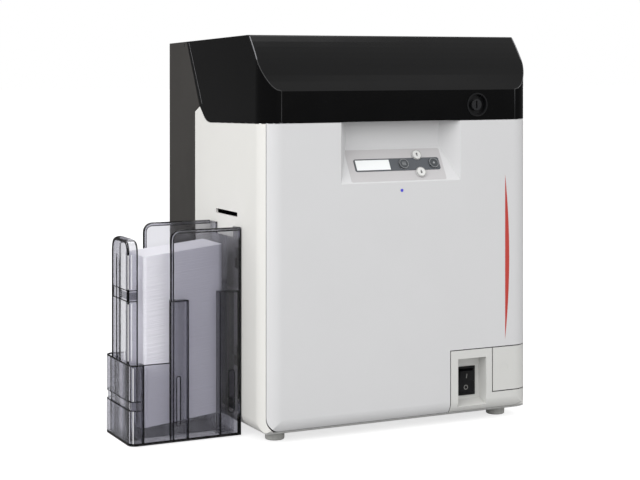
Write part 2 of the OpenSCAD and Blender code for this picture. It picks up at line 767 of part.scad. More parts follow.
bar_y = frame_y0 - 7;
strike_t = 1.5;
module front_crossbar() color("#A9ADB0") placed() {
    in = frame_x + frame_t;
    along_x(in, body_w - in) difference() {
        translate([bar_y, bar_low]) square([14, bar_h]);
        translate([bar_y + 1.5, bar_low + 1.5]) square([14, bar_h - 3]);
    }
    hinge_ear(bar_low, [[32, bar_y + 1], [in, bar_y + 1]]);
    translate([lock_x - 7, bar_y, bar_low + bar_h - cut])
        cube([14, strike_t, lock_z - lock_barrel_r - 4 - bar_low - bar_h + cut]);
}

plate_h = 292;
plate_top = base_z + plate_h;
plate_back = plate_y + plate_t;
spindles = [ribbon_supply_at, ribbon_takeup_at, film_supply_at, film_takeup_at];
rollers = [entry_at, transfer_at, exit_at];
module chassis_plate() color("#B4B8BB") placed() difference() {
    in = frame_x + frame_t;
    translate([in, plate_y, shell_z]) cube([body_w - 2 * in, plate_t, plate_top - shell_z]);
    for (p = spindles) rod_y(p, spindle_r + run_fit, plate_y - cut, plate_back + cut);
    for (p = concat(rollers, [drum_at, heat_at])) rod_y(p, shaft_r + run_fit, plate_y - cut, plate_back + cut);
    rod_y(pinion_at, pinion_shaft_r + free_gap, plate_y - cut, plate_back + cut);
}

module roller_frame() color("#A9ADB0") placed() difference() {
    union() {
        translate([entry_at[0] - 20, bracket_y - 2, shell_z])
            cube([exit_at[0] - entry_at[0] + 40, 2, card_z + 8 - shell_z]);
        translate([heat_at[0] - 13, bracket_y - 2, shell_z]) cube([26, 2, heat_at[1] + 10 - shell_z]);
        for (x = [entry_at[0] - 20, exit_at[0] + 8])
            translate([x, bracket_y - 2, shell_z]) cube([12, 14, 1.5]);
    }
    for (p = concat(rollers, [heat_at])) rod_y(p, shaft_r + run_fit, 0, body_d);
}

// A spool: web of radius r on a core with flanges, and a grip at its front end
grip_reach = 10;
grip_w = 5;
grip_t = 2.4;
module spool(at, r) {
    rod_y(at, r, web_y0, web_y0 + web_w);
    for (y = [web_y0 - 1.5, web_y0 + web_w]) rod_y(at, roll_r + 3, y, y + 1.5);
    rod_y(at, spindle_r, web_y0 - 8, plate_back + 3);
    rod_y(at, core_r - 1, web_y0 - 6, web_y0);
    for (a = [0:60:120]) translate([at[0], web_y0 - grip_reach, at[1]]) rotate([0, a, 0])
        translate([1 - core_r, 0, -grip_t / 2]) cube([2 * core_r - 2, grip_w, grip_t]);
}
module ribbon_supply_spool() color("#5B4A86") placed() spool(ribbon_supply_at, roll_r);
module ribbon_takeup_spool() color("#5B4A86") placed() spool(ribbon_takeup_at, core_r + 4);
module film_supply_spool() color("#C9CDD2") placed() spool(film_supply_at, roll_r - 2);
module film_takeup_spool() color("#C9CDD2") placed() spool(film_takeup_at, core_r + 3);

// A roller on its shaft, carried by the front frame and the chassis plate
pulley_r = 7;
belt_y = plate_back + 2;
belt_w = 6;
module feed_roller(at) {
    for (y = [web_y0 + 6, web_y0 + web_w - 24]) rod_y(at, feed_r, y, y + 18);
    rod_y(at, shaft_r, bracket_y - 3, belt_y + belt_w + 1);
    rod_y(at, pulley_r, belt_y - 0.5, belt_y + belt_w + 0.5);
}
module entry_roller() color("#3A3A3C") placed() feed_roller(entry_at);
module transfer_roller() color("#3A3A3C") placed() feed_roller(transfer_at);
module exit_roller() color("#3A3A3C") placed() feed_roller(exit_at);

module belt_loop(r) {
    for (p = [entry_at, exit_at]) translate(p) circle(r);
    translate([entry_at[0], entry_at[1] - r]) square([exit_at[0] - entry_at[0], 2 * r]);
}
belt_gap = 0.3;
belt_t = 0.9;
module feed_belt() color("#202022") placed() along_y(belt_y, belt_y + belt_w) difference() {
    belt_loop(pulley_r + belt_gap + belt_t);
    belt_loop(pulley_r + belt_gap);
}

module print_drum() color("#2E2E30") placed() {
    rod_y(drum_at, drum_r, web_y0, web_y0 + web_w);
    rod_y(drum_at, shaft_r, web_y0 - 4, plate_back + 3);
}
// Printhead: edge of heaters against the drum, block on the plate, and cooling fins
head_edge = 2;
head_t = 11;
head_h = 22;
fin_l = 6;
fin_t = 2;
fin_h = 20;
module printhead() color("#8E9296") placed() {
    edge_x = drum_at[0] - drum_r - 0.4 - head_edge;
    translate([edge_x, web_y0, drum_at[1] - 3]) cube([head_edge, web_w, 6]);
    translate([edge_x - head_t, web_y0 - 2, drum_at[1] - head_h / 2])
        cube([head_t, plate_y - web_y0 + 2, head_h]);
    for (i = [0:6]) translate([edge_x - head_t - fin_l, web_y0 + 4 + i * 8, drum_at[1] - fin_h / 2])
        cube([fin_l, fin_t, fin_h]);
}

// Gear outline: teeth with straight flanks and room between them
function gear_points(n) = [for (i = [0:n - 1], k = [0:3])
    let (r = gear_m * n / 2, a = 360 / n,
        f = [-0.30, -0.11, 0.11, 0.30][k],
        q = k == 0 || k == 3 ? r - 1.2 * gear_m : r + 0.85 * gear_m)
    [q * cos(a * (i + f)), q * sin(a * (i + f))]];
pinion_teeth = 12;
pinion_shaft_r = 2;
mesh_d = gear_m * (feed_teeth + pinion_teeth) / 2;
mesh_a = 60;
pinion_at = heat_at + mesh_d * [cos(mesh_a), sin(mesh_a)];
gear_y = web_y0 + web_w + 1.5;
gear_w = 5;
module gear_y_axis(at, n, turn) translate([at[0], 0, at[1]]) along_y(gear_y, gear_y + gear_w)
    rotate(turn) polygon(gear_points(n));

module heat_roller() color("#9A4B3A") placed() {
    rod_y(heat_at, heat_r, web_y0, web_y0 + web_w);
    rod_y(heat_at, shaft_r, bracket_y - 3, plate_back - 0.3);
    gear_y_axis(heat_at, feed_teeth, mesh_a);
}
module motor_pinion() color("#C8B26A") placed() {
    gear_y_axis(pinion_at, pinion_teeth, mesh_a + 180 + 180 / pinion_teeth);
    rod_y(pinion_at, pinion_shaft_r, gear_y, plate_back + 20);
}
module drive_motor() color("#6D7073") placed() difference() {
    centred_box(pinion_at, 35, 35, plate_back, plate_back + 34);
    rod_y(pinion_at, pinion_shaft_r + run_fit, plate_back - cut, plate_back + 22);
}

fan_t = 15;
fan_y = body_d - wall - fan_t;
hub_r = 11;
module cooling_fan() color("#222224") placed() {
    difference() {
        centred_box(fan_at, fan_w, fan_w, fan_y, fan_y + fan_t);
        rod_y(fan_at, fan_w / 2 - 2.5, fan_y - cut, fan_y + fan_t + cut);
    }
    difference() {
        union() {
            rod_y(fan_at, hub_r, fan_y, fan_y + 2);
            for (a = [45, 135]) translate([fan_at[0], fan_y + 1, fan_at[1]]) rotate([0, a, 0])
                cube([fan_w, 2, 4], center = true);
        }
        rod_y(fan_at, 2 + run_fit, fan_y - cut, fan_y + 3);
    }
}
module fan_rotor() color("#2C2C2F") placed() {
    rod_y(fan_at, hub_r, fan_y + 2.6, fan_y + 12);
    rod_y(fan_at, 2, fan_y, fan_y + 4);
    for (i = [0:6]) translate([fan_at[0], fan_y + 7.3, fan_at[1]]) rotate([0, i * 360 / 7, 0])
        rotate([28, 0, 0]) translate([hub_r - 2, -0.7, -4]) cube([fan_w / 2 - 4 - hub_r, 1.4, 8]);
}

// Behind the plate, with room for the wires to the inlet
supply_y = plate_back + 24;
supply_gap = 14;
supply_w = 100;
supply_h = 46;
module power_supply() color("#9DA1A4") placed()
    translate([30, supply_y, shell_z]) cube([supply_w, inlet_y - supply_gap - supply_y, supply_h]);

board_y = plate_back + 9;
module main_board() color("#1F6B45") placed() {
    translate([92, board_y, base_z + 120]) cube([110, 1.6, 130]);
    for (x = [97, 197], z = [125, 245]) rod_y([x, base_z + z], 3, plate_back, board_y);
    for (b = [[104, 150, 30, 30], [150, 160, 24, 24], [104, 205, 60, 12], [178, 200, 14, 36]])
        translate([b[0], board_y + 1.6, base_z + b[1]]) cube([b[2], 5, b[3]]);
}

module chassis_screws() color("#8A8D90") placed() {
    for (x = [24, body_w / 2, body_w - 24], z = [shell_z + 80, plate_top - 8])
        rod_y([x, z], 3.4, plate_y - 1.8, plate_y);
    for (x = [24, body_w - 24]) rod_y([x, bar_low + bar_h / 2], 3.4, bar_y - 1.5, bar_y);
}

// Outline of the hopper's front and rear walls, in X and Z: tall part and low part
tall_r = 9;
module hopper_wall_outline() {
    translate([tall_x, hopper_z]) difference() {
        union() {
            square([-hopper_gap - tall_x, hopper_h - tall_r]);
            translate([tall_r, 0]) square([-hopper_gap - tall_x - tall_r, hopper_h]);
            translate([tall_r, hopper_h - tall_r]) circle(tall_r);
        }
    }
    translate([hopper_x + cup_r, hopper_z]) square([tall_x - hopper_x, hopper_low_h]);
}

// Bead along the tall wall's free edges, drawn in by t from its outline
bead = 3;
bead_w = 1.4;
module tall_edge(t) {
    translate([tall_x + t, hopper_z + 142]) square([60, hopper_h - 142 - tall_r]);
    translate([tall_x + tall_r, hopper_z + hopper_h - 30]) square([-hopper_gap - tall_x - tall_r, 30 - t]);
    translate([tall_x + tall_r, hopper_top - tall_r]) circle(tall_r - t);
}

// Guide that keeps the cards in the middle: a hollow column on a wall
guide_in = card_path_y - card_w / 2 - 0.4 - hopper_y0 - hopper_wall;
guide_t = 1.6;
module guide(x, w, z1) difference() {
    translate([x, hopper_y0 + hopper_wall - 0.2, hopper_z])
        cube([w, guide_in + 0.2, z1 - hopper_z]);
    translate([x + guide_t, hopper_y0 - cut, hopper_z - cut])
        cube([w - 2 * guide_t, guide_in + hopper_wall - guide_t + cut, z1 - hopper_z - guide_t + cut]);
}

cup_r = 8;
cup_x1 = -hopper_reach + 12;
module cup_plan(t) {
    translate([hopper_x + cup_r, hopper_y0 + t]) square([cup_x1 - hopper_x - cup_r, hopper_w - 2 * t]);
    translate([hopper_x + t, hopper_y0 + cup_r]) square([cup_r, hopper_w - 2 * cup_r]);
    for (y = [hopper_y0 + cup_r, hopper_y1 - cup_r]) translate([hopper_x + cup_r, y]) circle(cup_r - t);
}
groove_d = 1;

module front_half_mirror() {
    children();
    translate([0, 2 * card_path_y, 0]) mirror([0, 1, 0]) children();
}

module hopper_body() color("#6E6E74", 0.5) placed() difference() {
    union() {
        // Floor, end cup and low walls
        translate([0, 0, hopper_z]) linear_extrude(hopper_wall) {
            cup_plan(0);
            translate([cup_x1 - cut, hopper_y0]) square([-hopper_gap - cup_x1 + cut, hopper_w]);
        }
        translate([0, 0, hopper_z]) linear_extrude(cup_h) difference() {
            cup_plan(0);
            intersection() {
                union() {
                    cup_plan(hopper_wall);
                    translate([cup_x1 - cut, hopper_y0 + hopper_wall])
                        square([2 * cut, hopper_w - 2 * hopper_wall]);
                }
                translate([hopper_x, hopper_y0 + hopper_wall]) square([40, hopper_w - 2 * hopper_wall]);
            }
        }
        front_half_mirror() {
            along_y(hopper_y0, hopper_y0 + hopper_wall) difference() {
                hopper_wall_outline();
                translate([tall_x + 6.5, hopper_z + 16]) round_rect(4.2, 50, 2);
                translate([-hopper_gap - 14, hopper_z + 24]) round_rect(6.5, 44, 3);
            }
            along_y(hopper_y0 - bead_w, hopper_y0 + hopper_wall - 0.2) difference() {
                tall_edge(0);
                tall_edge(bead);
                translate([-hopper_gap - 2, 0]) square([20, hopper_top + cut]);
            }
            guide(tall_x + 3, 16, hopper_z + 142);
            guide(-hopper_gap - 23, 21, hopper_z + 148);
        }
        // End wall on the printer's side
        translate([-hopper_gap - hopper_wall, hopper_y0, hopper_z]) cube([hopper_wall, hopper_w, hopper_h]);
        // Sloping rests below the cards
        for (y = [card_path_y - 18, card_path_y + 16]) along_y(y, y + 2) polygon([
            [stack_x, hopper_z + 1], [-stack_end - 2, hopper_z + 1],
            [-stack_end - 2, stack_low + stack_rise - 0.4], [stack_x, stack_low - 0.3]]);
    }
    // Way out for the lowest card
    translate([-hopper_gap - hopper_wall - cut, card_path_y - card_w / 2 - 1.5, stack_low + stack_rise - 4])
        cube([hopper_wall + 2 * cut, card_w + 3, 16]);
    // Cut-out of the end wall's top
    translate([-hopper_gap - hopper_wall - cut, card_path_y - 24, hopper_top - 12])
        cube([hopper_wall + 2 * cut, 48, 20]);
    // Groove round the cup
    translate([0, 0, hopper_z + 35]) linear_extrude(9) difference() {
        translate([hopper_x - cut, hopper_y0 - cut]) square([13 + cut, hopper_w + 2 * cut]);
        cup_plan(groove_d);
    }
}

// End post: a channel with a round top, standing in the cup
post_d = 10.5;
post_r = 13;
post_x = hopper_x + hopper_wall + 0.3;
post_wall = 2;
module post_outline(t) {
    y0 = card_path_y - post_w / 2;
    translate([y0 + t, hopper_z + hopper_wall]) square([post_w - 2 * t, post_h - hopper_wall - post_r]);
    translate([y0 + post_r, hopper_z + hopper_wall]) square([post_w - 2 * post_r, post_h - hopper_wall - t]);
    for (y = [y0 + post_r, y0 + post_w - post_r]) translate([y, hopper_z + post_h - post_r]) circle(post_r - t);
}
module hopper_end_post() color("#77777D", 0.5) placed() difference() {
    intersection() {
        along_x(post_x, post_x + post_d) post_outline(0);
        along_y(0, body_d) {
            translate([post_x, 0]) square([post_d, hopper_z + post_h - post_d / 2]);
            translate([post_x + post_d / 2, hopper_z + post_h - post_d / 2]) circle(post_d / 2);
        }
    }
    along_x(post_x + post_wall, post_x + post_d + cut) intersection() {
        post_outline(post_wall);
        translate([0, hopper_z + hopper_wall + 2]) square([body_d, post_h]);
    }
    // Waist groove, and the upright channel in the outer face
    along_x(post_x - cut, post_x + 0.9) translate([0, hopper_z + 142]) square([body_d, 11]);
    along_x(post_x - cut, post_x + 0.9)
        translate([card_path_y + 2, hopper_z + hopper_wall + 2]) square([9, post_h - 22]);
}

module hopper_hooks() color("#6E6E74", 0.5) placed() for (z = hook_z, s = [-1, 1])
    translate([0, card_path_y + s * hook_y - hook_w / 2, z - hook_h - 0.6]) {
        translate([-hopper_gap, 0, 0]) cube([hopper_gap + wall + 0.4, hook_w, hook_h]);
        translate([wall + 0.4, 0, -6]) cube([2.2, hook_w, hook_h + 6]);
    }

module card_stack() color("white") placed()
    along_y(card_path_y - card_w / 2, card_path_y + card_w / 2) polygon([
        [stack_x, stack_low], [-stack_end, stack_low + stack_rise],
        [-stack_end, stack_low + stack_rise + stack_h], [stack_x, stack_low + stack_h]]);

base_tray();
rubber_feet();
left_side_cover();
right_side_cover();
rear_housing();
front_door();
door_hinge_pins();
top_lid();
lid_hinge_pins();
lock_cup();
lock_barrel();
label_strip();
display_window();
menu_button();
set_button();
up_button();
down_button();
status_light();
switch_housing();
rocker_switch();
switch_insert();
corner_cover();
left_frame();
right_frame();
front_crossbar();
chassis_plate();
roller_frame();
hopper_body();
hopper_end_post();
hopper_hooks();
card_stack();
ribbon_supply_spool();
ribbon_takeup_spool();
film_supply_spool();
film_takeup_spool();
print_drum();
printhead();
heat_roller();
entry_roller();
transfer_roller();
exit_roller();
feed_belt();
drive_motor();
motor_pinion();
cooling_fan();
fan_rotor();
power_supply();
main_board();
power_inlet();
data_sockets();
chassis_screws();
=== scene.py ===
import bpy
import bmesh
import math
from mathutils import Vector, Matrix


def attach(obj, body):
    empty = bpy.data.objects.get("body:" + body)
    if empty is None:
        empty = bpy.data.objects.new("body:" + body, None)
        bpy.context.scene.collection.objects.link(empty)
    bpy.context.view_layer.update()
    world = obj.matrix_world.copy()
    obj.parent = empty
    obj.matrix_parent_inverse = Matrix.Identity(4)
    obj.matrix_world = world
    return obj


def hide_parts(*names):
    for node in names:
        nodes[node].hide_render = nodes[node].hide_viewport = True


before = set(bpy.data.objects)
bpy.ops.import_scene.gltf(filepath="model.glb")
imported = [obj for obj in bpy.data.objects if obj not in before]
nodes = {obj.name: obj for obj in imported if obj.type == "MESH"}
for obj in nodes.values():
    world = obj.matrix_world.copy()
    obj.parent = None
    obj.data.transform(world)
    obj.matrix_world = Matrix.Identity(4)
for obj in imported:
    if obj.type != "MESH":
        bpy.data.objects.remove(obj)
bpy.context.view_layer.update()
scene = bpy.context.scene
mm = 0.001
originX, originY = 98.5, 135.0  # the frame's origin, right of and behind the casing's front left corner
casingWidth = 317


def place(x, y, z):  # casing millimetres to metres in the shared frame
    return Vector(((x - originX) * mm, (y - originY) * mm, z * mm))


def toLinear(hexColour):
    values = [int(hexColour[i:i + 2], 16) / 255 for i in (1, 3, 5)]
    return tuple(v / 12.92 if v <= 0.04045 else ((v + 0.055) / 1.055) ** 2.4 for v in values) + (1.0,)


def addNode(tree, kind, values=None, links=None, **settings):
    node = tree.nodes.new(kind)
    for name, value in settings.items():
        setattr(node, name, value)
    for name, value in (values or {}).items():
        node.inputs[name].default_value = value
    for name, source in (links or {}).items():
        tree.links.new(source, node.inputs[name])
    return node


def newMaterial(name):
    material = bpy.data.materials.new(name)
    material.use_nodes = True
    material.node_tree.nodes.clear()
    return material, material.node_tree


# Camera: level, with the horizon high in the frame
cameraSetup = {"at": (-0.7303, -1.5490, 0.3825), "yaw": -26.16, "lens": 87.5, "shiftY": -0.276}
cameraData = bpy.data.cameras.new("camera")
camera = bpy.data.objects.new("camera", cameraData)
scene.collection.objects.link(camera)
camera.location = cameraSetup["at"]
camera.rotation_euler = (math.radians(90), 0, math.radians(cameraSetup["yaw"]))
cameraData.lens = cameraSetup["lens"]
cameraData.sensor_width = 36
cameraData.shift_y = cameraSetup["shiftY"]
cameraData.clip_end = 60
scene.camera = camera
scene.view_settings.view_transform = "Standard"
print("camera set")

# World: soft grey light, white where it is seen straight or through clear plastic. Gloss shows a room that is
# bright overhead and dim at eye level
worldSetup = {"light": 0.83, "seen": 1.0, "overhead": 1.0, "eyeLevel": 0.14, "from": 0.25, "to": 0.8}
world = bpy.data.worlds.new("studio")
scene.world = world
world.use_nodes = True
tree = world.node_tree
tree.nodes.clear()
path = addNode(tree, "ShaderNodeLightPath")
way = addNode(tree, "ShaderNodeTexCoord")
parts = addNode(tree, "ShaderNodeSeparateXYZ", links={0: way.outputs["Generated"]})
rise = addNode(tree, "ShaderNodeMapRange",
               {1: worldSetup["from"], 2: worldSetup["to"], 3: worldSetup["eyeLevel"], 4: worldSetup["overhead"]},
               {0: parts.outputs["Z"]}, interpolation_type="SMOOTHSTEP")
seen = addNode(tree, "ShaderNodeMath", operation="MAXIMUM",
               links={0: path.outputs["Is Camera Ray"], 1: path.outputs["Is Transmission Ray"]})
lightBack = addNode(tree, "ShaderNodeBackground", {"Color": toLinear("#FFFFFF"), "Strength": worldSetup["light"]})
seenBack = addNode(tree, "ShaderNodeBackground", {"Color": toLinear("#FFFFFF"), "Strength": worldSetup["seen"]})
glossBack = addNode(tree, "ShaderNodeBackground", {"Color": toLinear("#FFFFFF")}, {"Strength": rise.outputs[0]})
glossy = addNode(tree, "ShaderNodeMixShader",
                 links={0: path.outputs["Is Glossy Ray"], 1: lightBack.outputs[0], 2: glossBack.outputs[0]})
mixed = addNode(tree, "ShaderNodeMixShader",
                links={0: seen.outputs[0], 1: glossy.outputs[0], 2: seenBack.outputs[0]})
addNode(tree, "ShaderNodeOutputWorld", links={"Surface": mixed.outputs[0]})

# Lamps: a strong wide one from the left, a weaker one from the front right and a small one from above. The left
# one isn't mirrored, because its image would grey the lid's side
lamps = {
    "leftSoftbox": {"at": (-2.2, -1.0, 1.5), "size": 2.4, "power": 42, "mirrored": False},
    "frontSoftbox": {"at": (0.9, -2.6, 1.6), "size": 2.6, "power": 15, "mirrored": True},
    "topStrip": {"at": (0.5, 0.1, 2.4), "size": 1.0, "power": 8, "mirrored": True},
}
lampTarget = Vector((0, 0, 0.2))
for name, lamp in lamps.items():
    data = bpy.data.lights.new(name, "AREA")
    data.shape = "SQUARE"
    data.size = lamp["size"]
    data.energy = lamp["power"]
    light = bpy.data.objects.new(name, data)
    light.location = lamp["at"]
    light.rotation_euler = (lampTarget - Vector(lamp["at"])).to_track_quat("-Z", "Y").to_euler()
    light.visible_glossy = lamp["mirrored"]
    scene.collection.objects.link(light)

# Floor: pale board that glows to the camera, so that it meets the white background. In gloss it is darker and
# glows little, and seen through clear plastic it looks as it does straight
floorSetup = {"side": 40, "colour": "#B8B8B8", "mirrored": "#5A5A5A", "glow": 0.72, "inGloss": 0.1}
floorMesh = bpy.data.meshes.new("floor")
half = floorSetup["side"] / 2
floorCorners = [(-half, -half, 0), (half, -half, 0), (half, half, 0), (-half, half, 0)]
floorMesh.from_pydata(floorCorners, [], [(0, 1, 2, 3)])
floor = bpy.data.objects.new("floor", floorMesh)
scene.collection.objects.link(floor)
paleBoard, tree = newMaterial("paleBoard")
path = addNode(tree, "ShaderNodeLightPath")
straight = addNode(tree, "ShaderNodeMath", operation="MAXIMUM",
                   links={0: path.outputs["Is Camera Ray"], 1: path.outputs["Is Transmission Ray"]})
mirrored = addNode(tree, "ShaderNodeMath", operation="SUBTRACT", use_clamp=True,
                   links={0: path.outputs["Is Glossy Ray"], 1: path.outputs["Is Transmission Ray"]})
inGloss = addNode(tree, "ShaderNodeMath", {1: floorSetup["inGloss"]}, {0: mirrored.outputs[0]},
                  operation="MULTIPLY")
seen = addNode(tree, "ShaderNodeMath", links={0: straight.outputs[0], 1: inGloss.outputs[0]}, operation="MAXIMUM")
glowStrength = addNode(tree, "ShaderNodeMath", {1: floorSetup["glow"]}, {0: seen.outputs[0]},
                       operation="MULTIPLY")
tone = addNode(tree, "ShaderNodeMix", {6: toLinear(floorSetup["colour"]), 7: toLinear(floorSetup["mirrored"])},
               {0: mirrored.outputs[0]}, data_type="RGBA")
board = addNode(tree, "ShaderNodeBsdfDiffuse", links={"Color": tone.outputs[2]})
glow = addNode(tree, "ShaderNodeEmission", {"Color": toLinear("#FFFFFF")}, {"Strength": glowStrength.outputs[0]})
both = addNode(tree, "ShaderNodeAddShader", links={0: board.outputs[0], 1: glow.outputs[0]})
addNode(tree, "ShaderNodeOutputMaterial", links={"Surface": both.outputs[0]})
floorMesh.materials.append(paleBoard)
print("studio set")


# Moulded ABS: fine spark-eroded grain that breaks up the gloss, and a trace of colour drift. The drift and the
# waves of gloss are as wide, in mm, as the flow marks in a large moulding
flowMarks = {"drift": 60, "waves": 25, "smoother": -0.05, "rougher": 0.06, "grainDepth": 0.1}


def mouldedAbs(name, light, dark, roughness=0.42, grainMm=0.45, bump=0.06, level=0.5):
    material, tree = newMaterial(name)
    where = addNode(tree, "ShaderNodeTexCoord")
    drift = addNode(tree, "ShaderNodeTexNoise", {"Scale": 1 / (flowMarks["drift"] * mm), "Detail": 3.0},
                    {"Vector": where.outputs["Object"]})
    shade = addNode(tree, "ShaderNodeMix", {6: toLinear(dark), 7: toLinear(light)}, {0: drift.outputs[0]},
                    data_type="RGBA")
    grain = addNode(tree, "ShaderNodeTexNoise", {"Scale": 1 / (grainMm * mm), "Detail": 2.0},
                    {"Vector": where.outputs["Object"]})
    wave = addNode(tree, "ShaderNodeTexNoise", {"Scale": 1 / (flowMarks["waves"] * mm), "Detail": 2.0},
                   {"Vector": where.outputs["Object"]})
    sheen = addNode(tree, "ShaderNodeMapRange",
                    {3: roughness + flowMarks["smoother"], 4: roughness + flowMarks["rougher"]},
                    {0: wave.outputs[0]})
    relief = addNode(tree, "ShaderNodeBump", {"Strength": bump, "Distance": flowMarks["grainDepth"] * mm},
                     {"Height": grain.outputs[0]})
    surface = addNode(tree, "ShaderNodeBsdfPrincipled", {"IOR": 1.5, "Specular IOR Level": level},
                      {"Base Color": shade.outputs[2], "Roughness": sheen.outputs[0],
                       "Normal": relief.outputs[0]})
    addNode(tree, "ShaderNodeOutputMaterial", links={"Surface": surface.outputs[0]})
    return material


# Plated steel sheet: directional rolling lines that stretch the gloss. In mm, and coarser than real ones, which
# would be too fine to show
rollingLines = {"across": 0.6, "along": 40, "smoother": -0.08, "rougher": 0.1}


def platedSheet(name, light, dark, roughness=0.34):
    material, tree = newMaterial(name)
    where = addNode(tree, "ShaderNodeTexCoord")
    across, along = 1 / (rollingLines["across"] * mm), 1 / (rollingLines["along"] * mm)
    stretch = addNode(tree, "ShaderNodeMapping", {"Scale": (across, across, along)},
                      {"Vector": where.outputs["Object"]})
    lines = addNode(tree, "ShaderNodeTexNoise", {"Scale": 1.0, "Detail": 3.0}, {"Vector": stretch.outputs[0]})
    shade = addNode(tree, "ShaderNodeMix", {6: toLinear(dark), 7: toLinear(light)}, {0: lines.outputs[0]},
                    data_type="RGBA")
    sheen = addNode(tree, "ShaderNodeMapRange",
                    {3: roughness + rollingLines["smoother"], 4: roughness + rollingLines["rougher"]},
                    {0: lines.outputs[0]})
    surface = addNode(tree, "ShaderNodeBsdfPrincipled", {"Metallic": 1.0},
                      {"Base Color": shade.outputs[2], "Roughness": sheen.outputs[0]})
    addNode(tree, "ShaderNodeOutputMaterial", links={"Surface": surface.outputs[0]})
    return material


# Rubber, and the dark seam cord: matt, with a ground nap that drifts a little in tone
groundNap = {"size": 0.7, "strength": 0.25, "depth": 0.15}


def groundRubber(name, light, dark, roughness=0.75):
    material, tree = newMaterial(name)
    where = addNode(tree, "ShaderNodeTexCoord")
    nap = addNode(tree, "ShaderNodeTexNoise", {"Scale": 1 / (groundNap["size"] * mm), "Detail": 4.0},
                  {"Vector": where.outputs["Object"]})
    shade = addNode(tree, "ShaderNodeMix", {6: toLinear(dark), 7: toLinear(light)}, {0: nap.outputs[0]},
                    data_type="RGBA")
    relief = addNode(tree, "ShaderNodeBump",
                     {"Strength": groundNap["strength"], "Distance": groundNap["depth"] * mm},
                     {"Height": nap.outputs[0]})
    surface = addNode(tree, "ShaderNodeBsdfPrincipled", {"Roughness": roughness},
                      {"Base Color": shade.outputs[2], "Normal": relief.outputs[0]})
    addNode(tree, "ShaderNodeOutputMaterial", links={"Surface": surface.outputs[0]})
    return material


# Painted shade: zones of the hopper where two walls or more lie one behind another, painted darker in place of
# the shade that the walls behind make
def zoneSpan(x, y, z):  # casing millimetres to spans in the shared frame
    low, high = place(x[0], y[0], z[0]), place(x[1], y[1], z[1])
    return [(low[i], high[i]) for i in range(3)]


paintedShadeZones = [
    (zoneSpan((-122, -105.5), (50, 80), (0, 82)), 0.3),  # the cup's corner, where its walls are doubled
    (zoneSpan((-24.5, -8.5), (50, 140), (0, 151)), 0.45),  # guide columns by the printer
    (zoneSpan((-24.5, 1), (50, 140), (151, 216)), 0.3),  # and the wall above them
    (zoneSpan((-102, -17), (76, 114), (0, 27)), 0.7),  # rests below the cards
    (zoneSpan((-118, -106), (68, 96), (144.5, 152.5)), 0.9),  # the post's waist
]
zoneBlur = 1 * mm
# Painted shade: the thick shade is what the zones above are painted
smokeShades = {"thin": "#E9E9EC", "thick": "#86868C", "waves": 18, "rougher": 0.04}


# Tinted polycarbonate, injection moulded and polished: thin walls look nearly clear, while its edges and beads,
# where the light goes a long way through it, turn dark. Light that reaches what lies behind it is let through
def smokePolycarbonate(name, tint, loss, roughness=0.02):
    material, tree = newMaterial(name)
    where = addNode(tree, "ShaderNodeTexCoord")
    parts = addNode(tree, "ShaderNodeSeparateXYZ", links={0: where.outputs["Object"]})
    thick = None
    for spans, weight in paintedShadeZones:
        zone = None
        for axis, (low, high) in zip("XYZ", spans):
            inside = addNode(tree, "ShaderNodeMapRange", {1: low - zoneBlur, 2: low + zoneBlur},
                             {0: parts.outputs[axis]})
            before = addNode(tree, "ShaderNodeMapRange", {1: high + zoneBlur, 2: high - zoneBlur},
                             {0: parts.outputs[axis]})
            for edge in (inside, before):
                zone = edge if zone is None else addNode(tree, "ShaderNodeMath", operation="MULTIPLY",
                                                         links={0: zone.outputs[0], 1: edge.outputs[0]})
        share = addNode(tree, "ShaderNodeMath", {1: weight}, {0: zone.outputs[0]}, operation="MULTIPLY")
        thick = share if thick is None else addNode(tree, "ShaderNodeMath", operation="MAXIMUM",
                                                    links={0: thick.outputs[0], 1: share.outputs[0]})
    # Painted shade: the colour darkens towards the thick shade inside the zones
    body = addNode(tree, "ShaderNodeMix", {6: toLinear(smokeShades["thin"]), 7: toLinear(smokeShades["thick"])},
                   {0: thick.outputs[0]}, data_type="RGBA")
    flow = addNode(tree, "ShaderNodeTexNoise", {"Scale": 1 / (smokeShades["waves"] * mm), "Detail": 2.0},
                   {"Vector": where.outputs["Object"]})
    sheen = addNode(tree, "ShaderNodeMapRange", {3: roughness, 4: roughness + smokeShades["rougher"]},
                    {0: flow.outputs[0]})
    solid = addNode(tree, "ShaderNodeBsdfPrincipled",
                    {"IOR": 1.5, "Transmission Weight": 1.0},
                    {"Base Color": body.outputs[2], "Roughness": sheen.outputs[0]})
    passing = addNode(tree, "ShaderNodeBsdfTransparent", {"Color": toLinear("#FFFFFF")})
    path = addNode(tree, "ShaderNodeLightPath")
    surface = addNode(tree, "ShaderNodeMixShader",
                      links={0: path.outputs["Is Shadow Ray"], 1: solid.outputs[0], 2: passing.outputs[0]})
    smoke = addNode(tree, "ShaderNodeVolumeAbsorption", {"Color": toLinear(tint), "Density": loss})
    addNode(tree, "ShaderNodeOutputMaterial", links={"Surface": surface.outputs[0], "Volume": smoke.outputs[0]})
    return material


# Polished tinted PMMA over a black backing: deep gloss, a long soft mirror of the room
def polishedSmoke(name, light, dark, roughness=0.16, level=0.3):
    return mouldedAbs(name, light, dark, roughness, grainMm=3, bump=0.004, level=level)


# Lens and label film: smooth, low relief
def labelFilm(name, light, dark, roughness=0.3):
    return mouldedAbs(name, light, dark, roughness, grainMm=0.3, bump=0.02)


# Blue lens, lit from behind
lensMarks = {"waves": 2, "smoothest": 0.2, "roughest": 0.3}


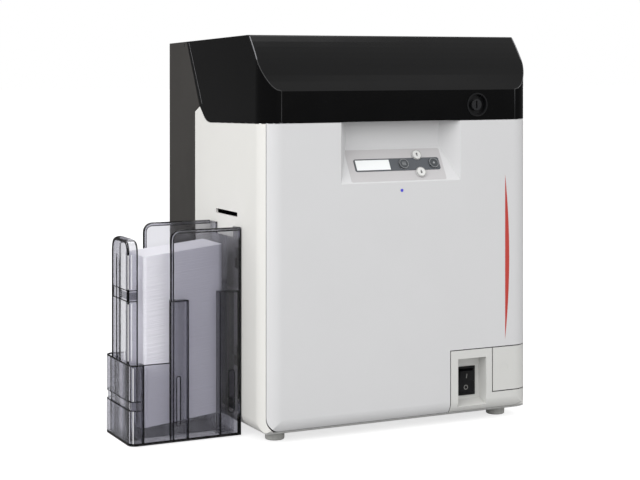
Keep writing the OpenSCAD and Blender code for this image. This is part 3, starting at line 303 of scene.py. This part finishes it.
def litLens(name, colour, strength):
    material, tree = newMaterial(name)
    where = addNode(tree, "ShaderNodeTexCoord")
    spread = addNode(tree, "ShaderNodeTexNoise", {"Scale": 1 / (lensMarks["waves"] * mm)},
                     {"Vector": where.outputs["Object"]})
    sheen = addNode(tree, "ShaderNodeMapRange", {3: lensMarks["smoothest"], 4: lensMarks["roughest"]},
                    {0: spread.outputs[0]})
    surface = addNode(tree, "ShaderNodeBsdfPrincipled",
                      {"Base Color": toLinear(colour), "Emission Color": toLinear(colour),
                       "Emission Strength": strength},
                      {"Roughness": sheen.outputs[0]})
    addNode(tree, "ShaderNodeOutputMaterial", links={"Surface": surface.outputs[0]})
    return material


# Finishes by name. Each pair of colours is the light and the dark end of its drift
finishes = {made.name: made for made in (
    mouldedAbs("doorAbs", "#DADADB", "#D6D6D7"),  # satin light grey
    mouldedAbs("coverAbs", "#E6E5E1", "#E2E1DD"),  # satin warm white
    mouldedAbs("trayAbs", "#DCDCDA", "#D6D6D4"),  # satin, a shade greyer
    mouldedAbs("blockAbs", "#D9D9D6", "#D5D5D2", 0.4),  # satin, between the door and the covers
    mouldedAbs("rearAbs", "#444240", "#3E3C3A", 0.55, 0.8, 0.2, level=0.2),  # matt and coarsely textured
    polishedSmoke("lidPmma", "#0C0C0D", "#090909", level=0.14),  # near black, with a faint mirror
    polishedSmoke("lidEdgePaintedSheen", "#2A2A2B", "#262627", 0.12, level=0.9),  # painted sheen: paler than the lid, on a glossy bead along the crease
    polishedSmoke("lidPaintedHighlight", "#77777A", "#6E6E71", 0.15, level=0.8),  # painted highlight: light grey on the near-black lid
    mouldedAbs("blackAbs", "#18181A", "#121214", 0.35, level=0.35),
    mouldedAbs("lockZinc", "#2B2B2D", "#242426", 0.28, 0.3, 0.05, level=0.3),  # zinc under black lacquer
    labelFilm("stripFilm", "#50545A", "#4A4E53"),
    labelFilm("displayPane", "#F8FAFA", "#F3F6F6", 0.18),
    labelFilm("keySlate", "#3C4044", "#34383C", 0.32),
    labelFilm("keySilver", "#E2E2E0", "#DCDCDA", 0.32),
    litLens("blueLens", "#4A48B8", 0.35),  # dim, as at standby
    mouldedAbs("cardPvc", "#E9E8EF", "#E2E1E9", 0.5, 0.5, 0.02, level=0.15),  # matt white with a cool tint
    smokePolycarbonate("smokeHopper", "#BCBBC4", 170),  # clear, cool grey walls
    labelFilm("paintedGlintFilm", "#F2F2F4", "#ECECEF", 0.2),  # painted highlights: opaque pale lines where an edge glints
    smokePolycarbonate("paintedEdgeShade", "#3A3A40", 9000, 0.05),  # painted shade: near-black cords along the hopper's edges, slots and grooves
    labelFilm("plateFilm", "#C6C4C5", "#C2C0C1", 0.38),
    labelFilm("inkPale", "#9EA1A3", "#96999B"),
    labelFilm("inkGrey", "#8B8A88", "#858482"),
    labelFilm("inkDark", "#3A3A3C", "#343436"),
    labelFilm("trimInk", "#C6463D", "#BC4038"),
    platedSheet("steelSheet", "#B9BCBE", "#9EA2A5"),
    platedSheet("steelPin", "#C6C8CA", "#AEB1B4", 0.22),
    groundRubber("rollerRubber", "#3E3E40", "#303032"),
    groundRubber("heatSilicone", "#A5523F", "#8E4536", 0.6),  # iron red
    groundRubber("footRubber", "#B9B9B6", "#ACACA9"),
    # painted shade: a near-black cord laid in the seams
    groundRubber("seamShadeCord", "#1C1C1E", "#151516", 0.9),
    groundRubber("beltRubber", "#242426", "#1B1B1D"),
    mouldedAbs("ribbonFilm", "#5F4D8C", "#52427C", 0.22, 0.6, 0.03),  # wound dye film, a silky violet
    mouldedAbs("clearFilm", "#CDD1D6", "#C2C6CC", 0.15, 0.6, 0.03),  # wound clear film, silky and pale
    platedSheet("headAluminium", "#C4C7CA", "#A9ADB1", 0.4),
    platedSheet("pinionBrass", "#D6B767", "#B8984C", 0.25),
    mouldedAbs("motorEnamel", "#6F7275", "#64676A", 0.38),  # smooth grey enamel
    mouldedAbs("boardGreen", "#21724A", "#1B633F", 0.35),  # solder resist, glossy green
)}
nodesByFinish = {
    "trayAbs": ["base_tray"], "footRubber": ["rubber_feet"], "coverAbs": ["left_side_cover", "right_side_cover"],
    "rearAbs": ["rear_housing"], "doorAbs": ["front_door"], "lidPmma": ["top_lid"], "lockZinc": ["lock_barrel"],
    "blackAbs": ["lock_cup", "rocker_switch", "switch_insert", "cooling_fan", "fan_rotor", "power_inlet"],
    "stripFilm": ["label_strip"], "displayPane": ["display_window"], "blueLens": ["status_light"],
    "keySlate": ["menu_button", "set_button"], "keySilver": ["up_button", "down_button"],
    "blockAbs": ["switch_housing", "corner_cover"],
    "steelPin": ["door_hinge_pins", "lid_hinge_pins", "chassis_screws"],
    "steelSheet": ["left_frame", "right_frame", "front_crossbar", "chassis_plate", "roller_frame",
                   "power_supply", "data_sockets"],
    "smokeHopper": ["hopper_body", "hopper_end_post", "hopper_hooks"], "cardPvc": ["card_stack"],
    "ribbonFilm": ["ribbon_supply_spool", "ribbon_takeup_spool"],
    "clearFilm": ["film_supply_spool", "film_takeup_spool"],
    "rollerRubber": ["print_drum", "entry_roller", "transfer_roller", "exit_roller"],
    "headAluminium": ["printhead"], "heatSilicone": ["heat_roller"], "beltRubber": ["feed_belt"],
    "motorEnamel": ["drive_motor"], "pinionBrass": ["motor_pinion"], "boardGreen": ["main_board"],
}
for finish, names in nodesByFinish.items():
    for name in names:
        slots = nodes[name].data.materials
        if len(slots) == 0:
            slots.append(finishes[finish])
        for i in range(len(slots)):
            slots[i] = finishes[finish]
print("materials set on", sum(len(names) for names in nodesByFinish.values()), "nodes")


def turn(cx, cy, radius, start, end, steps=6):  # points of an arc in a plane
    return [(cx + radius * math.cos(math.radians(start + (end - start) * i / steps)),
             cy + radius * math.sin(math.radians(start + (end - start) * i / steps))) for i in range(steps + 1)]


def flatten(piece):  # what the modifiers make, as a plain mesh
    bpy.context.view_layer.update()
    result = bpy.data.meshes.new_from_object(piece.evaluated_get(bpy.context.evaluated_depsgraph_get()))
    piece.modifiers.clear()
    piece.data = result
    result.name = piece.name


def openTree(name, inputs):  # a node tree that takes a geometry and these inputs, with its input node
    tree = bpy.data.node_groups.new(name, "GeometryNodeTree")
    tree.interface.new_socket("Geometry", in_out="INPUT", socket_type="NodeSocketGeometry")
    for label, kind in inputs:
        tree.interface.new_socket(label, in_out="INPUT", socket_type=kind)
    tree.interface.new_socket("Geometry", in_out="OUTPUT", socket_type="NodeSocketGeometry")
    return tree, addNode(tree, "NodeGroupInput")


def closeTree(tree, shape, plastic):  # makes every copy real, in one plastic
    solid = addNode(tree, "GeometryNodeRealizeInstances", links={"Geometry": shape})
    painted = addNode(tree, "GeometryNodeSetMaterial", links={"Geometry": solid.outputs[0], "Material": plastic})
    addNode(tree, "NodeGroupOutput", links={0: painted.outputs[0]})
    return tree


def growPiece(name, mesh, tree, values):  # a piece that a node tree makes from a mesh
    piece = bpy.data.objects.new(name, mesh)
    scene.collection.objects.link(piece)
    growth = piece.modifiers.new("growth", "NODES")
    growth.node_group = tree
    for item in tree.interface.items_tree:
        if item.in_out == "INPUT" and item.name in values:
            growth[item.identifier] = values[item.name]
    flatten(piece)
    return piece


# Cards: one rounded card, repeated up the hopper by a node tree. A card is a little thinner than it should be, so
# that a line shows between it and the next
cardSetup = {"length": 85.6, "width": 54, "thickness": 0.76, "kept": 0.93, "corner": 3.2, "cornerSteps": 3,
             "tilt": 6.0, "count": 224, "height": 172, "left": -101.1, "low": 15.8, "middleY": 95,
             "shuffle": 0.25}


def cardMesh():
    mesh = bpy.data.meshes.new("card")
    form = bmesh.new()
    corner, end = cardSetup["corner"], cardSetup["length"] - cardSetup["corner"]
    side = cardSetup["width"] / 2 - corner
    outline = []
    for cx, cy, start in ((end, side, 0), (corner, side, 90), (corner, -side, 180), (end, -side, 270)):
        outline += turn(cx, cy, corner, start, start + 90, cardSetup["cornerSteps"])
    low = [form.verts.new((x * mm, y * mm, 0)) for x, y in outline]
    high = [form.verts.new((x * mm, y * mm, cardSetup["thickness"] * cardSetup["kept"] * mm)) for x, y in outline]
    form.faces.new(list(reversed(low)))
    form.faces.new(high)
    for i in range(len(low)):
        j = (i + 1) % len(low)
        form.faces.new((low[i], low[j], high[j], high[i]))
    form.to_mesh(mesh)
    form.free()
    return mesh


def pileTree():  # one card on each point of an upright line, all leaning, each shifted a little
    tree, entry = openTree("cardPile", (("Count", "NodeSocketInt"), ("Pitch", "NodeSocketFloat"),
                                        ("Tilt", "NodeSocketFloat"), ("Shuffle", "NodeSocketFloat"),
                                        ("Plastic", "NodeSocketMaterial")))
    step = addNode(tree, "ShaderNodeCombineXYZ", links={"Z": entry.outputs["Pitch"]})
    line = addNode(tree, "GeometryNodeMeshLine",
                   links={"Count": entry.outputs["Count"], "Offset": step.outputs[0]})
    back = addNode(tree, "ShaderNodeMath", {1: -1.0}, {0: entry.outputs["Shuffle"]}, operation="MULTIPLY")
    lowest = addNode(tree, "ShaderNodeCombineXYZ", links={"X": back.outputs[0], "Y": back.outputs[0]})
    highest = addNode(tree, "ShaderNodeCombineXYZ",
                      links={"X": entry.outputs["Shuffle"], "Y": entry.outputs["Shuffle"]})
    stray = addNode(tree, "FunctionNodeRandomValue", {"Seed": 7}, {0: lowest.outputs[0], 1: highest.outputs[0]},
                    data_type="FLOAT_VECTOR")
    shifted = addNode(tree, "GeometryNodeSetPosition",
                      links={"Geometry": line.outputs[0], "Offset": stray.outputs[0]})
    lean = addNode(tree, "ShaderNodeMath", {1: -1.0}, {0: entry.outputs["Tilt"]}, operation="MULTIPLY")
    leaning = addNode(tree, "ShaderNodeCombineXYZ", links={"Y": lean.outputs[0]})
    pile = addNode(tree, "GeometryNodeInstanceOnPoints",
                   links={"Points": shifted.outputs[0], "Instance": entry.outputs["Geometry"],
                          "Rotation": leaning.outputs[0]})
    return closeTree(tree, pile.outputs[0], entry.outputs["Plastic"])


cards = growPiece("cards", cardMesh(), pileTree(), {
    "Count": cardSetup["count"], "Pitch": cardSetup["height"] / cardSetup["count"] * mm,
    "Tilt": math.radians(cardSetup["tilt"]), "Shuffle": cardSetup["shuffle"] * mm,
    "Plastic": finishes["cardPvc"]})
cards.data.transform(Matrix.Translation(place(cardSetup["left"], cardSetup["middleY"], cardSetup["low"])))
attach(cards, "hopper")
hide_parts("card_stack")
print("cards made:", len(cards.data.polygons), "faces")


# Bead: a round cord along a run of points, with closed ends, made by a node tree
def beadTree():
    tree, entry = openTree("bead", (("Radius", "NodeSocketFloat"), ("Sides", "NodeSocketInt"),
                                    ("Plastic", "NodeSocketMaterial")))
    run = addNode(tree, "GeometryNodeMeshToCurve", links={"Mesh": entry.outputs["Geometry"]})
    section = addNode(tree, "GeometryNodeCurvePrimitiveCircle",
                      links={"Resolution": entry.outputs["Sides"], "Radius": entry.outputs["Radius"]})
    skin = addNode(tree, "GeometryNodeCurveToMesh", {"Fill Caps": True},
                   {"Curve": run.outputs[0], "Profile Curve": section.outputs[0]})
    return closeTree(tree, skin.outputs[0], entry.outputs["Plastic"])


beadNodes = beadTree()


def runsMesh(name, runs):  # each run is (points in casing mm, closed)
    mesh = bpy.data.meshes.new(name)
    points, edges = [], []
    for run, closed in runs:
        first = len(points)
        points += [place(*p) for p in run]
        edges += [(i, i + 1) for i in range(first, len(points) - 1)]
        if closed:
            edges.append((len(points) - 1, first))
    mesh.from_pydata(points, edges, [])
    return mesh


def openRun(*points):
    return list(points), False


def sideRuns(run, *across):  # the same run of (y, z) points at each x
    return [openRun(*[(x, y, z) for y, z in run]) for x in across]


def addBeads(name, runs, radius, finish, body, sides=8):
    piece = growPiece(name, runsMesh(name, runs), beadNodes,
                      {"Radius": radius * mm, "Sides": sides, "Plastic": finishes[finish]})
    form = bmesh.new()
    form.from_mesh(piece.data)
    bmesh.ops.remove_doubles(form, verts=form.verts, dist=1e-6)
    bmesh.ops.recalc_face_normals(form, faces=form.faces)
    form.to_mesh(piece.data)
    form.free()
    for face in piece.data.polygons:
        face.use_smooth = True
    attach(piece, body)


# Slab: a flat outline with holes, from one height to another, put in place by a function
def slabMesh(name, outlines, low, high, to):
    mesh = bpy.data.meshes.new(name)
    form = bmesh.new()
    for level in (low, high):
        edges = []
        for outline in outlines:
            ring = [form.verts.new(to(u, v, level)) for u, v in outline]
            edges += [form.edges.new((ring[i], ring[(i + 1) % len(ring)])) for i in range(len(ring))]
        bmesh.ops.triangle_fill(form, use_beauty=True, use_dissolve=False, edges=edges)
    form.verts.ensure_lookup_table()
    count = sum(len(outline) for outline in outlines)
    start = 0
    for outline in outlines:
        for i in range(len(outline)):
            a, b = start + i, start + (i + 1) % len(outline)
            form.faces.new((form.verts[a], form.verts[b], form.verts[count + b], form.verts[count + a]))
        start += len(outline)
    bmesh.ops.recalc_face_normals(form, faces=form.faces)
    form.to_mesh(mesh)
    form.free()
    return mesh


def circle(u, v, radius, steps=40):
    return [(u + radius * math.cos(2 * math.pi * i / steps), v + radius * math.sin(2 * math.pi * i / steps))
            for i in range(steps)]


def bar(u, v, width, height):
    return [(u - width / 2, v - height / 2), (u + width / 2, v - height / 2),
            (u + width / 2, v + height / 2), (u - width / 2, v + height / 2)]


def roundedBox(left, right, bottom, top, corner):
    return (turn(right - corner, top - corner, corner, 0, 90) + turn(left + corner, top - corner, corner, 90, 180)
            + turn(left + corner, bottom + corner, corner, 180, 270)
            + turn(right - corner, bottom + corner, corner, 270, 360))


def joined(name, meshes):
    form = bmesh.new()
    for mesh in meshes:
        form.from_mesh(mesh)
        bpy.data.meshes.remove(mesh)
    result = bpy.data.meshes.new(name)
    form.to_mesh(result)
    form.free()
    return result


def addPiece(name, mesh, finish, body):
    piece = bpy.data.objects.new(name, mesh)
    scene.collection.objects.link(piece)
    mesh.materials.append(finishes[finish])
    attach(piece, body)


# Panel: a pale plate on the slope, round the label strip and the two silver keys' stems
panelSetup = {"middleX": 157.7, "low": 259.0, "tilt": 60.2551, "left": -58.2, "right": 54.6, "bottom": 1.6,
              "top": 38.4, "corner": 2.0, "strip": (0, 20.3, 101.2, 14.2), "thick": 0.15, "stemHole": 2.6}
keyPlaces = {"menu": (7, 20.3), "set": (43, 20.3), "up": (25, 30.3), "down": (25, 10.3)}
silverKeys = ("up", "down")


def onPanel(u, v, w):
    tilt = math.radians(panelSetup["tilt"])
    return place(panelSetup["middleX"] + u, v * math.cos(tilt) - w * math.sin(tilt),
                 panelSetup["low"] + v * math.sin(tilt) + w * math.cos(tilt))


plateOutlines = [roundedBox(*[panelSetup[edge] for edge in ("left", "right", "bottom", "top", "corner")]),
                 bar(*panelSetup["strip"])]
plateOutlines += [circle(*keyPlaces[key], panelSetup["stemHole"], 24) for key in silverKeys]
addPiece("panelPlate", slabMesh("panelPlate", plateOutlines, 0.0, panelSetup["thick"], onPanel),
         "plateFilm", "door")

# Key marks, printed on the keys' tops: a ring on each, with three lines, a dot or an arrow in it
markSetup = {"top": 2.4, "thick": 0.06, "ring": (5.3, 4.85), "line": (4.6, 0.55), "linePitch": 1.5, "dot": 1.2,
             "arrowHalf": 1.5, "arrowBack": 0.2, "arrowTip": 2.3, "stem": (1.0, 2.1), "stemBack": 0.8}


def onKey(name, outlines):
    return slabMesh(name, outlines, markSetup["top"], markSetup["top"] + markSetup["thick"], onPanel)


def keyMarks(key, u, v):
    if key == "menu":
        return [onKey("line", [bar(u, v + step * markSetup["linePitch"], *markSetup["line"])])
                for step in (-1, 0, 1)]
    if key == "set":
        return [onKey("dot", [circle(u, v, markSetup["dot"], 20)])]
    way = 1 if key == "up" else -1
    half, back = markSetup["arrowHalf"], v + markSetup["arrowBack"] * way
    return [onKey("arrow", [[(u - half, back), (u + half, back), (u, v + markSetup["arrowTip"] * way)]]),
            onKey("stem", [bar(u, v - markSetup["stemBack"] * way, *markSetup["stem"])])]


for key, (u, v) in keyPlaces.items():
    silver = key in silverKeys
    ringMesh = onKey(key + "Ring", [circle(u, v, radius) for radius in markSetup["ring"]])
    addPiece(key + "Ring", ringMesh, "inkGrey" if silver else "inkPale", key + "_key")
    addPiece(key + "Mark", joined(key + "Mark", keyMarks(key, u, v)), "inkDark" if silver else "inkPale",
             key + "_key")
print("panel dressed")

# Switch marks: a bar and a ring, printed on the two faces of the rocker
rockerSetup = {"x": 243.3, "y": 18.0, "z": 42.5, "rest": 8.0, "face": 6.5, "waist": 4.9, "half": 11.85,
               "markAt": 6.3, "bar": (0.9, 5.2), "ring": (2.6, 1.8), "sunk": -0.01, "proud": 0.05}


def onRocker(half):  # half is 1 for the upper face, -1 for the lower one
    waist = rockerSetup["waist"]
    lean = math.atan2(rockerSetup["face"] - waist, rockerSetup["half"])
    rest = math.radians(rockerSetup["rest"])

    def to(u, v, w):
        y = -waist - v * math.sin(lean) - w * math.cos(lean)
        z = half * (v * math.cos(lean) - w * math.sin(lean))
        return place(rockerSetup["x"] + u, rockerSetup["y"] + y * math.cos(rest) - z * math.sin(rest),
                     rockerSetup["z"] + y * math.sin(rest) + z * math.cos(rest))
    return to


markAt, sunk, proud = rockerSetup["markAt"], rockerSetup["sunk"], rockerSetup["proud"]
onMark = slabMesh("onMark", [bar(0, markAt, *rockerSetup["bar"])], sunk, proud, onRocker(1))
offMark = slabMesh("offMark", [circle(0, markAt, radius, 32) for radius in rockerSetup["ring"]], sunk, proud,
                   onRocker(-1))
addPiece("switchMarks", joined("switchMarks", [onMark, offMark]), "inkGrey", "rocker")

# Trim down the door's right side: a slim red bow, straight on its left
trimSetup = {"x": 284.6, "low": 86, "high": 263, "bow": 5.2, "thick": 0.05, "steps": 40}


def trimOutline():
    low, high, count = trimSetup["low"], trimSetup["high"], trimSetup["steps"]
    middle, half = (high + low) / 2, (high - low) / 2
    return [(trimSetup["x"] + trimSetup["bow"] * (1 - step * step), middle + half * step)
            for step in [2 * i / count - 1 for i in range(count + 1)]]


trim = slabMesh("trimLine", [trimOutline()], 0, trimSetup["thick"], lambda u, v, w: place(u, -w, v))
addPiece("trimLine", trim, "trimInk", "door")

# Painted shade in the seams: a dark cord set into the seams round the door, the switch block, the corner cover
# and the lid, in place of the shade in them.
# Each seam is a run of (x, z) points on the casing's face, which is round at both sides and rolls in at the foot
faceSetup = {"sideRadius": 20, "rollRadius": 16, "rollTop": 24.5}
seamShadeSetup = {"depth": 0.6, "perMm": 0.12, "sides": 6, "doorCord": 0.2, "blockCord": 0.4, "lidCord": 0.17,
             "doorLeft": 5.75, "doorTop": 321, "doorLow": 12.75, "corner": (20, 25.8, 14.3),
             "blockX": 216.5, "blockTop": 78.5, "blockLow": 13.5, "blockRight": 311, "coverX": 268.5,
             "coverTop": 77.9, "coverLow": 31, "lid": [(20, 321.78), (141, 318.96)], "lidAcross": (0.5, 316.5)}


def faceDepth(x, z):  # how far the casing's face lies behind its front plane
    side, roll = faceSetup["sideRadius"], faceSetup["rollRadius"]
    across = max(0, side - x, x - casingWidth + side)
    down = max(0, faceSetup["rollTop"] - z)
    return max(side - math.sqrt(max(0, side ** 2 - across ** 2)), roll - math.sqrt(max(0, roll ** 2 - down ** 2)))


def seamShadeRun(points):  # more points between these, all a little behind the face
    run = []
    for (x0, z0), (x1, z1) in zip(points, points[1:]):
        count = max(1, round(math.hypot(x1 - x0, z1 - z0) * seamShadeSetup["perMm"]))
        run += [(x0 + (x1 - x0) * i / count, z0 + (z1 - z0) * i / count) for i in range(count)]
    run.append(points[-1])
    return openRun(*[(x, faceDepth(x, z) + seamShadeSetup["depth"], z) for x, z in run])


blockX, blockTop, blockRight = seamShadeSetup["blockX"], seamShadeSetup["blockTop"], seamShadeSetup["blockRight"]
coverX, coverLow, doorLow = seamShadeSetup["coverX"], seamShadeSetup["coverLow"], seamShadeSetup["doorLow"]
doorSeam = [(seamShadeSetup["doorLeft"], seamShadeSetup["doorTop"])]
doorSeam += [(x, max(z, doorLow)) for x, z in turn(*seamShadeSetup["corner"], 180, 270, 10)]
doorSeam.append((blockX - 1, doorLow))
blockSeam = [(blockX, seamShadeSetup["blockLow"]), (blockX, blockTop), (blockRight, blockTop)]
coverSeam = [(coverX, seamShadeSetup["coverTop"]), (coverX, coverLow), (blockRight, coverLow)]
lidSeamShadeRuns = sideRuns(seamShadeSetup["lid"], *seamShadeSetup["lidAcross"])
for name, runs, cord, slot in (("doorSeamShade", [seamShadeRun(doorSeam)], "doorCord", "side_left"),
                               ("blockSeamShade", [seamShadeRun(blockSeam), seamShadeRun(coverSeam)], "blockCord", "block"),
                               ("lidSeamShade", lidSeamShadeRuns, "lidCord", "side_left")):
    addBeads(name, runs, seamShadeSetup[cord], "seamShadeCord", "base", seamShadeSetup["sides"])
print("seamShades laid")

# Lid: a fine bead along the crease where the swept nose meets each round corner. It is painted paler than the lid
# as a sheen, and painted light grey as a highlight on its upper part. It runs on down the front from the crease's
# foot, and a bead painted light grey as a highlight follows each wing's rear edge
noseSetup = {"centreY": 198.4, "centreZ": 266.2, "radius": 217.2, "from": 138.6, "to": 155.6, "steps": 28,
             "corner": 20, "least": 0.6, "lightSteps": 13, "bead": 0.45, "lightBead": 0.6, "frontY": 0.2,
             "foot": 323}
wingSetup = {"edge": [(202.6, 405.5), (163.6, 338)], "across": (0.25, 316.6), "bead": 0.4}


def creaseRun(left):
    start, end, steps = noseSetup["from"], noseSetup["to"], noseSetup["steps"]
    radius, corner = noseSetup["radius"], noseSetup["corner"]
    run = []
    for i in range(steps + 1):
        angle = math.radians(start + (end - start) * i / steps)
        y = noseSetup["centreY"] + radius * math.cos(angle)
        z = noseSetup["centreZ"] + radius * math.sin(angle)
        x = max(noseSetup["least"], corner - math.sqrt(max(0, corner ** 2 - max(0, corner - y) ** 2)))
        run.append((x if left else casingWidth - x, y, z))
    return run


lightSteps, frontY = noseSetup["lightSteps"], noseSetup["frontY"]
creases, glints = [], []
for left, footX in ((True, noseSetup["corner"]), (False, casingWidth - noseSetup["corner"])):
    run = creaseRun(left)
    upright = [(footX, frontY, run[-1][2] - 1), (footX, frontY, noseSetup["foot"])]
    creases.append(openRun(*run[lightSteps:], *upright))
    glints.append(openRun(*run[:lightSteps + 1]))
addBeads("lidCreaseSheen", creases, noseSetup["bead"], "lidEdgePaintedSheen", "lid")
addBeads("lidGlint", glints, noseSetup["lightBead"], "lidPaintedHighlight", "lid")
addBeads("wingEdgeHighlight", sideRuns(wingSetup["edge"], *wingSetup["across"]), wingSetup["bead"], "lidPaintedHighlight", "lid")
print("lid creases made")

# Hopper: beads of the smoke plastic, and near-black cords along its rims, lines, slots and grooves, where its
# walls are thickest or turn a corner. The edges are real; their darkness is painted shade
hopperSetup = {
    "left": -120, "right": -0.4, "front": 55, "back": 135, "floor": 1.2, "foot": 4, "top": 214.2, "endGap": 2,
    "tall": -77.4, "tallRadius": 9, "tallLow": 143.2,  # the tall walls' free edge, its corner and its lower end
    "column": (3, 19), "shelf": (23, 149.2),  # guide columns, in from the free edge and from the printer
    "slots": ((-70.9, 17.2, 67.2, 4.2), (-14.4, 25.2, 69.2, 6.5)),  # left, low, high, width
    "cupTop": 81.2, "cupRadius": 8, "cupLength": 14, "grooves": (36.2, 45.2), "grooveLength": 13,
    "bead": 1.5, "rim": 0.75, "line": 0.55,
    # How far beads, rims and lines lie in from an edge, or to one side of a wall's middle
    "beadIn": 1.2, "beadOut": 0.2, "rimsIn": (0.1, 2.6), "rimOut": 0.9, "lineOut": 1.2, "footUp": 0.8,
    "rimIn": 0.8, "grooveIn": 0.6}
postSetup = {"outer": -117.3, "inner": -106.8, "middle": 95, "half": 25, "low": 20, "high": 205.7, "radius": 13,
             "waist": (143.2, 154.2), "ribs": (97, 106), "ribLow": 8, "ribHigh": 184, "notch": 2.4}


def wallTop(inset, y):  # up a tall wall's free edge, round its corner and along its top
    tall, top, radius = hopperSetup["tall"], hopperSetup["top"], hopperSetup["tallRadius"]
    arc = turn(tall + radius, top - radius, radius - inset, 180, 90)
    return openRun((tall + inset, y, hopperSetup["tallLow"]), *[(x, y, z) for x, z in arc],
                   (hopperSetup["right"] - hopperSetup["endGap"], y, top - inset))


def roundCup(z, inset, length):  # round the cup's end at one height
    left, corner = hopperSetup["left"], hopperSetup["cupRadius"]
    front, back, radius = hopperSetup["front"] + inset, hopperSetup["back"] - inset, corner - inset
    arcs = (turn(left + corner, front + radius, radius, 270, 180)
            + turn(left + corner, back - radius, radius, 180, 90))
    return openRun((left + length, front, z), *[(x, y, z) for x, y in arcs], (left + length, back, z))


def hopperRuns():
    left, right, tall, top = (hopperSetup[edge] for edge in ("left", "right", "tall", "top"))
    floor, foot, tallLow, cupTop = (hopperSetup[height] for height in ("floor", "foot", "tallLow", "cupTop"))
    nearEdge, farEdge = (tall + step for step in hopperSetup["column"])
    shelfIn, shelfZ = hopperSetup["shelf"]
    cupEnd, base = left + hopperSetup["cupLength"], floor + hopperSetup["footUp"]
    beads, rims, lines = [], [], []
    for side, wall in ((-1, hopperSetup["front"]), (1, hopperSetup["back"])):
        beads.append(wallTop(hopperSetup["beadIn"], wall + side * hopperSetup["beadOut"]))
        rims += [wallTop(inset, wall + side * hopperSetup["rimOut"]) for inset in hopperSetup["rimsIn"]]
        # The guide columns: their free edges, and the step below the bead
        lines.append(openRun((nearEdge, wall, foot), (nearEdge, wall, tallLow), (farEdge, wall, tallLow),
                             (farEdge, wall, foot)))
        lines.append(openRun((right - shelfIn, wall, foot), (right - shelfIn, wall, shelfZ),
                             (right - hopperSetup["endGap"], wall, shelfZ)))
        rims.append(openRun((tall, wall, foot), (tall, wall, tallLow)))
        rims.append(openRun((farEdge, wall, foot), (farEdge, wall, tallLow), (tall, wall, tallLow)))
        # The low wall's top edge and the bottom edge
        lineY = wall - side * hopperSetup["lineOut"]
        lines.append(openRun((cupEnd, lineY, cupTop), (tall, lineY, cupTop)))
        rims.append(openRun((left + hopperSetup["cupRadius"], wall, base), (right - 1, wall, base)))
        # Two slots
        for x, low, high, width in hopperSetup["slots"]:
            radius = width / 2 - 0.01
            outline = (turn(x + radius, high - radius, radius, 0, 180, 8)
                       + turn(x + radius, low + radius, radius, 180, 360, 8))
            lines.append(([(u, wall, v) for u, v in outline], True))
        # The upright edge by the printer, and the cup's proud corner
        rims.append(openRun((right - 1, wall, floor + 1), (right - 1, wall, top - 1)))
        rims.append(openRun((cupEnd, wall, 3), (cupEnd, wall, cupTop)))
    # The cup's rim, grooves and foot, round its end
    rims += [roundCup(z, hopperSetup["rimIn"], hopperSetup["cupLength"]) for z in (cupTop, base)]
    lines += [roundCup(z, hopperSetup["grooveIn"], hopperSetup["grooveLength"]) for z in hopperSetup["grooves"]]
    return beads, rims, lines


def postRuns():  # the end post's round top, its edges, its waist and two ribs
    outer, inner, radius = postSetup["outer"], postSetup["inner"], postSetup["radius"]
    front, back = postSetup["middle"] - postSetup["half"], postSetup["middle"] + postSetup["half"]
    low, high, notch = postSetup["low"], postSetup["high"], postSetup["notch"]
    rims, lines = [], []
    # Three lines round the top: the outer face's edge, one further in on that face, and the inner face's edge
    for x, inset, drop in ((outer + 0.4, 0.5, notch), (outer + 0.4, 3.2, 0), (inner - 0.6, 0.5, notch)):
        arcs = (turn(front + radius, high - radius, radius - inset, 180, 90)
                + turn(back - radius, high - radius, radius - inset, 90, 0))
        rims.append(openRun((x, front + inset, low), *[(x, y, z - drop) for y, z in arcs],
                            (x, back - inset, low)))
    for z in postSetup["waist"]:
        lines.append(openRun((inner - 1, front, z), (outer + 0.5, front, z), (outer + 0.5, back, z)))
    for y in postSetup["ribs"]:
        lines.append(openRun((outer + 0.3, y, postSetup["ribLow"]), (outer + 0.3, y, postSetup["ribHigh"])))
    return rims, lines


beads, rims, lines = hopperRuns()
postRims, postLines = postRuns()
addBeads("hopperBeads", beads, hopperSetup["bead"], "smokeHopper", "hopper", 12)
# Painted shade: the rims and lines are near-black cords
addBeads("hopperRimShade", rims + postRims, hopperSetup["rim"], "paintedEdgeShade", "hopper", 8)
addBeads("hopperLineShade", lines + postLines, hopperSetup["line"], "paintedEdgeShade", "hopper", 6)

# Painted highlights: opaque pale cords where edges glint, inside the cup's corner and inside the post, clear of
# the cup's rim and of the waist
glintSetup = {"radius": 0.5, "cup": ((-116.6, 56.4),), "cupSpans": ((4, 36), (46, 79)),
              "post": ((-117.4, 69), (-117.5, 80), (-113.5, 69.8)), "postSpans": ((84, 141), (156, 190))}
edges = [openRun(*[(x, y, z) for z in span]) for places, spans in (("cup", "cupSpans"), ("post", "postSpans"))
         for x, y in glintSetup[places] for span in glintSetup[spans]]
addBeads("hopperGlints", edges, glintSetup["radius"], "paintedGlintFilm", "hopper", 8)
print("hopper edges made")
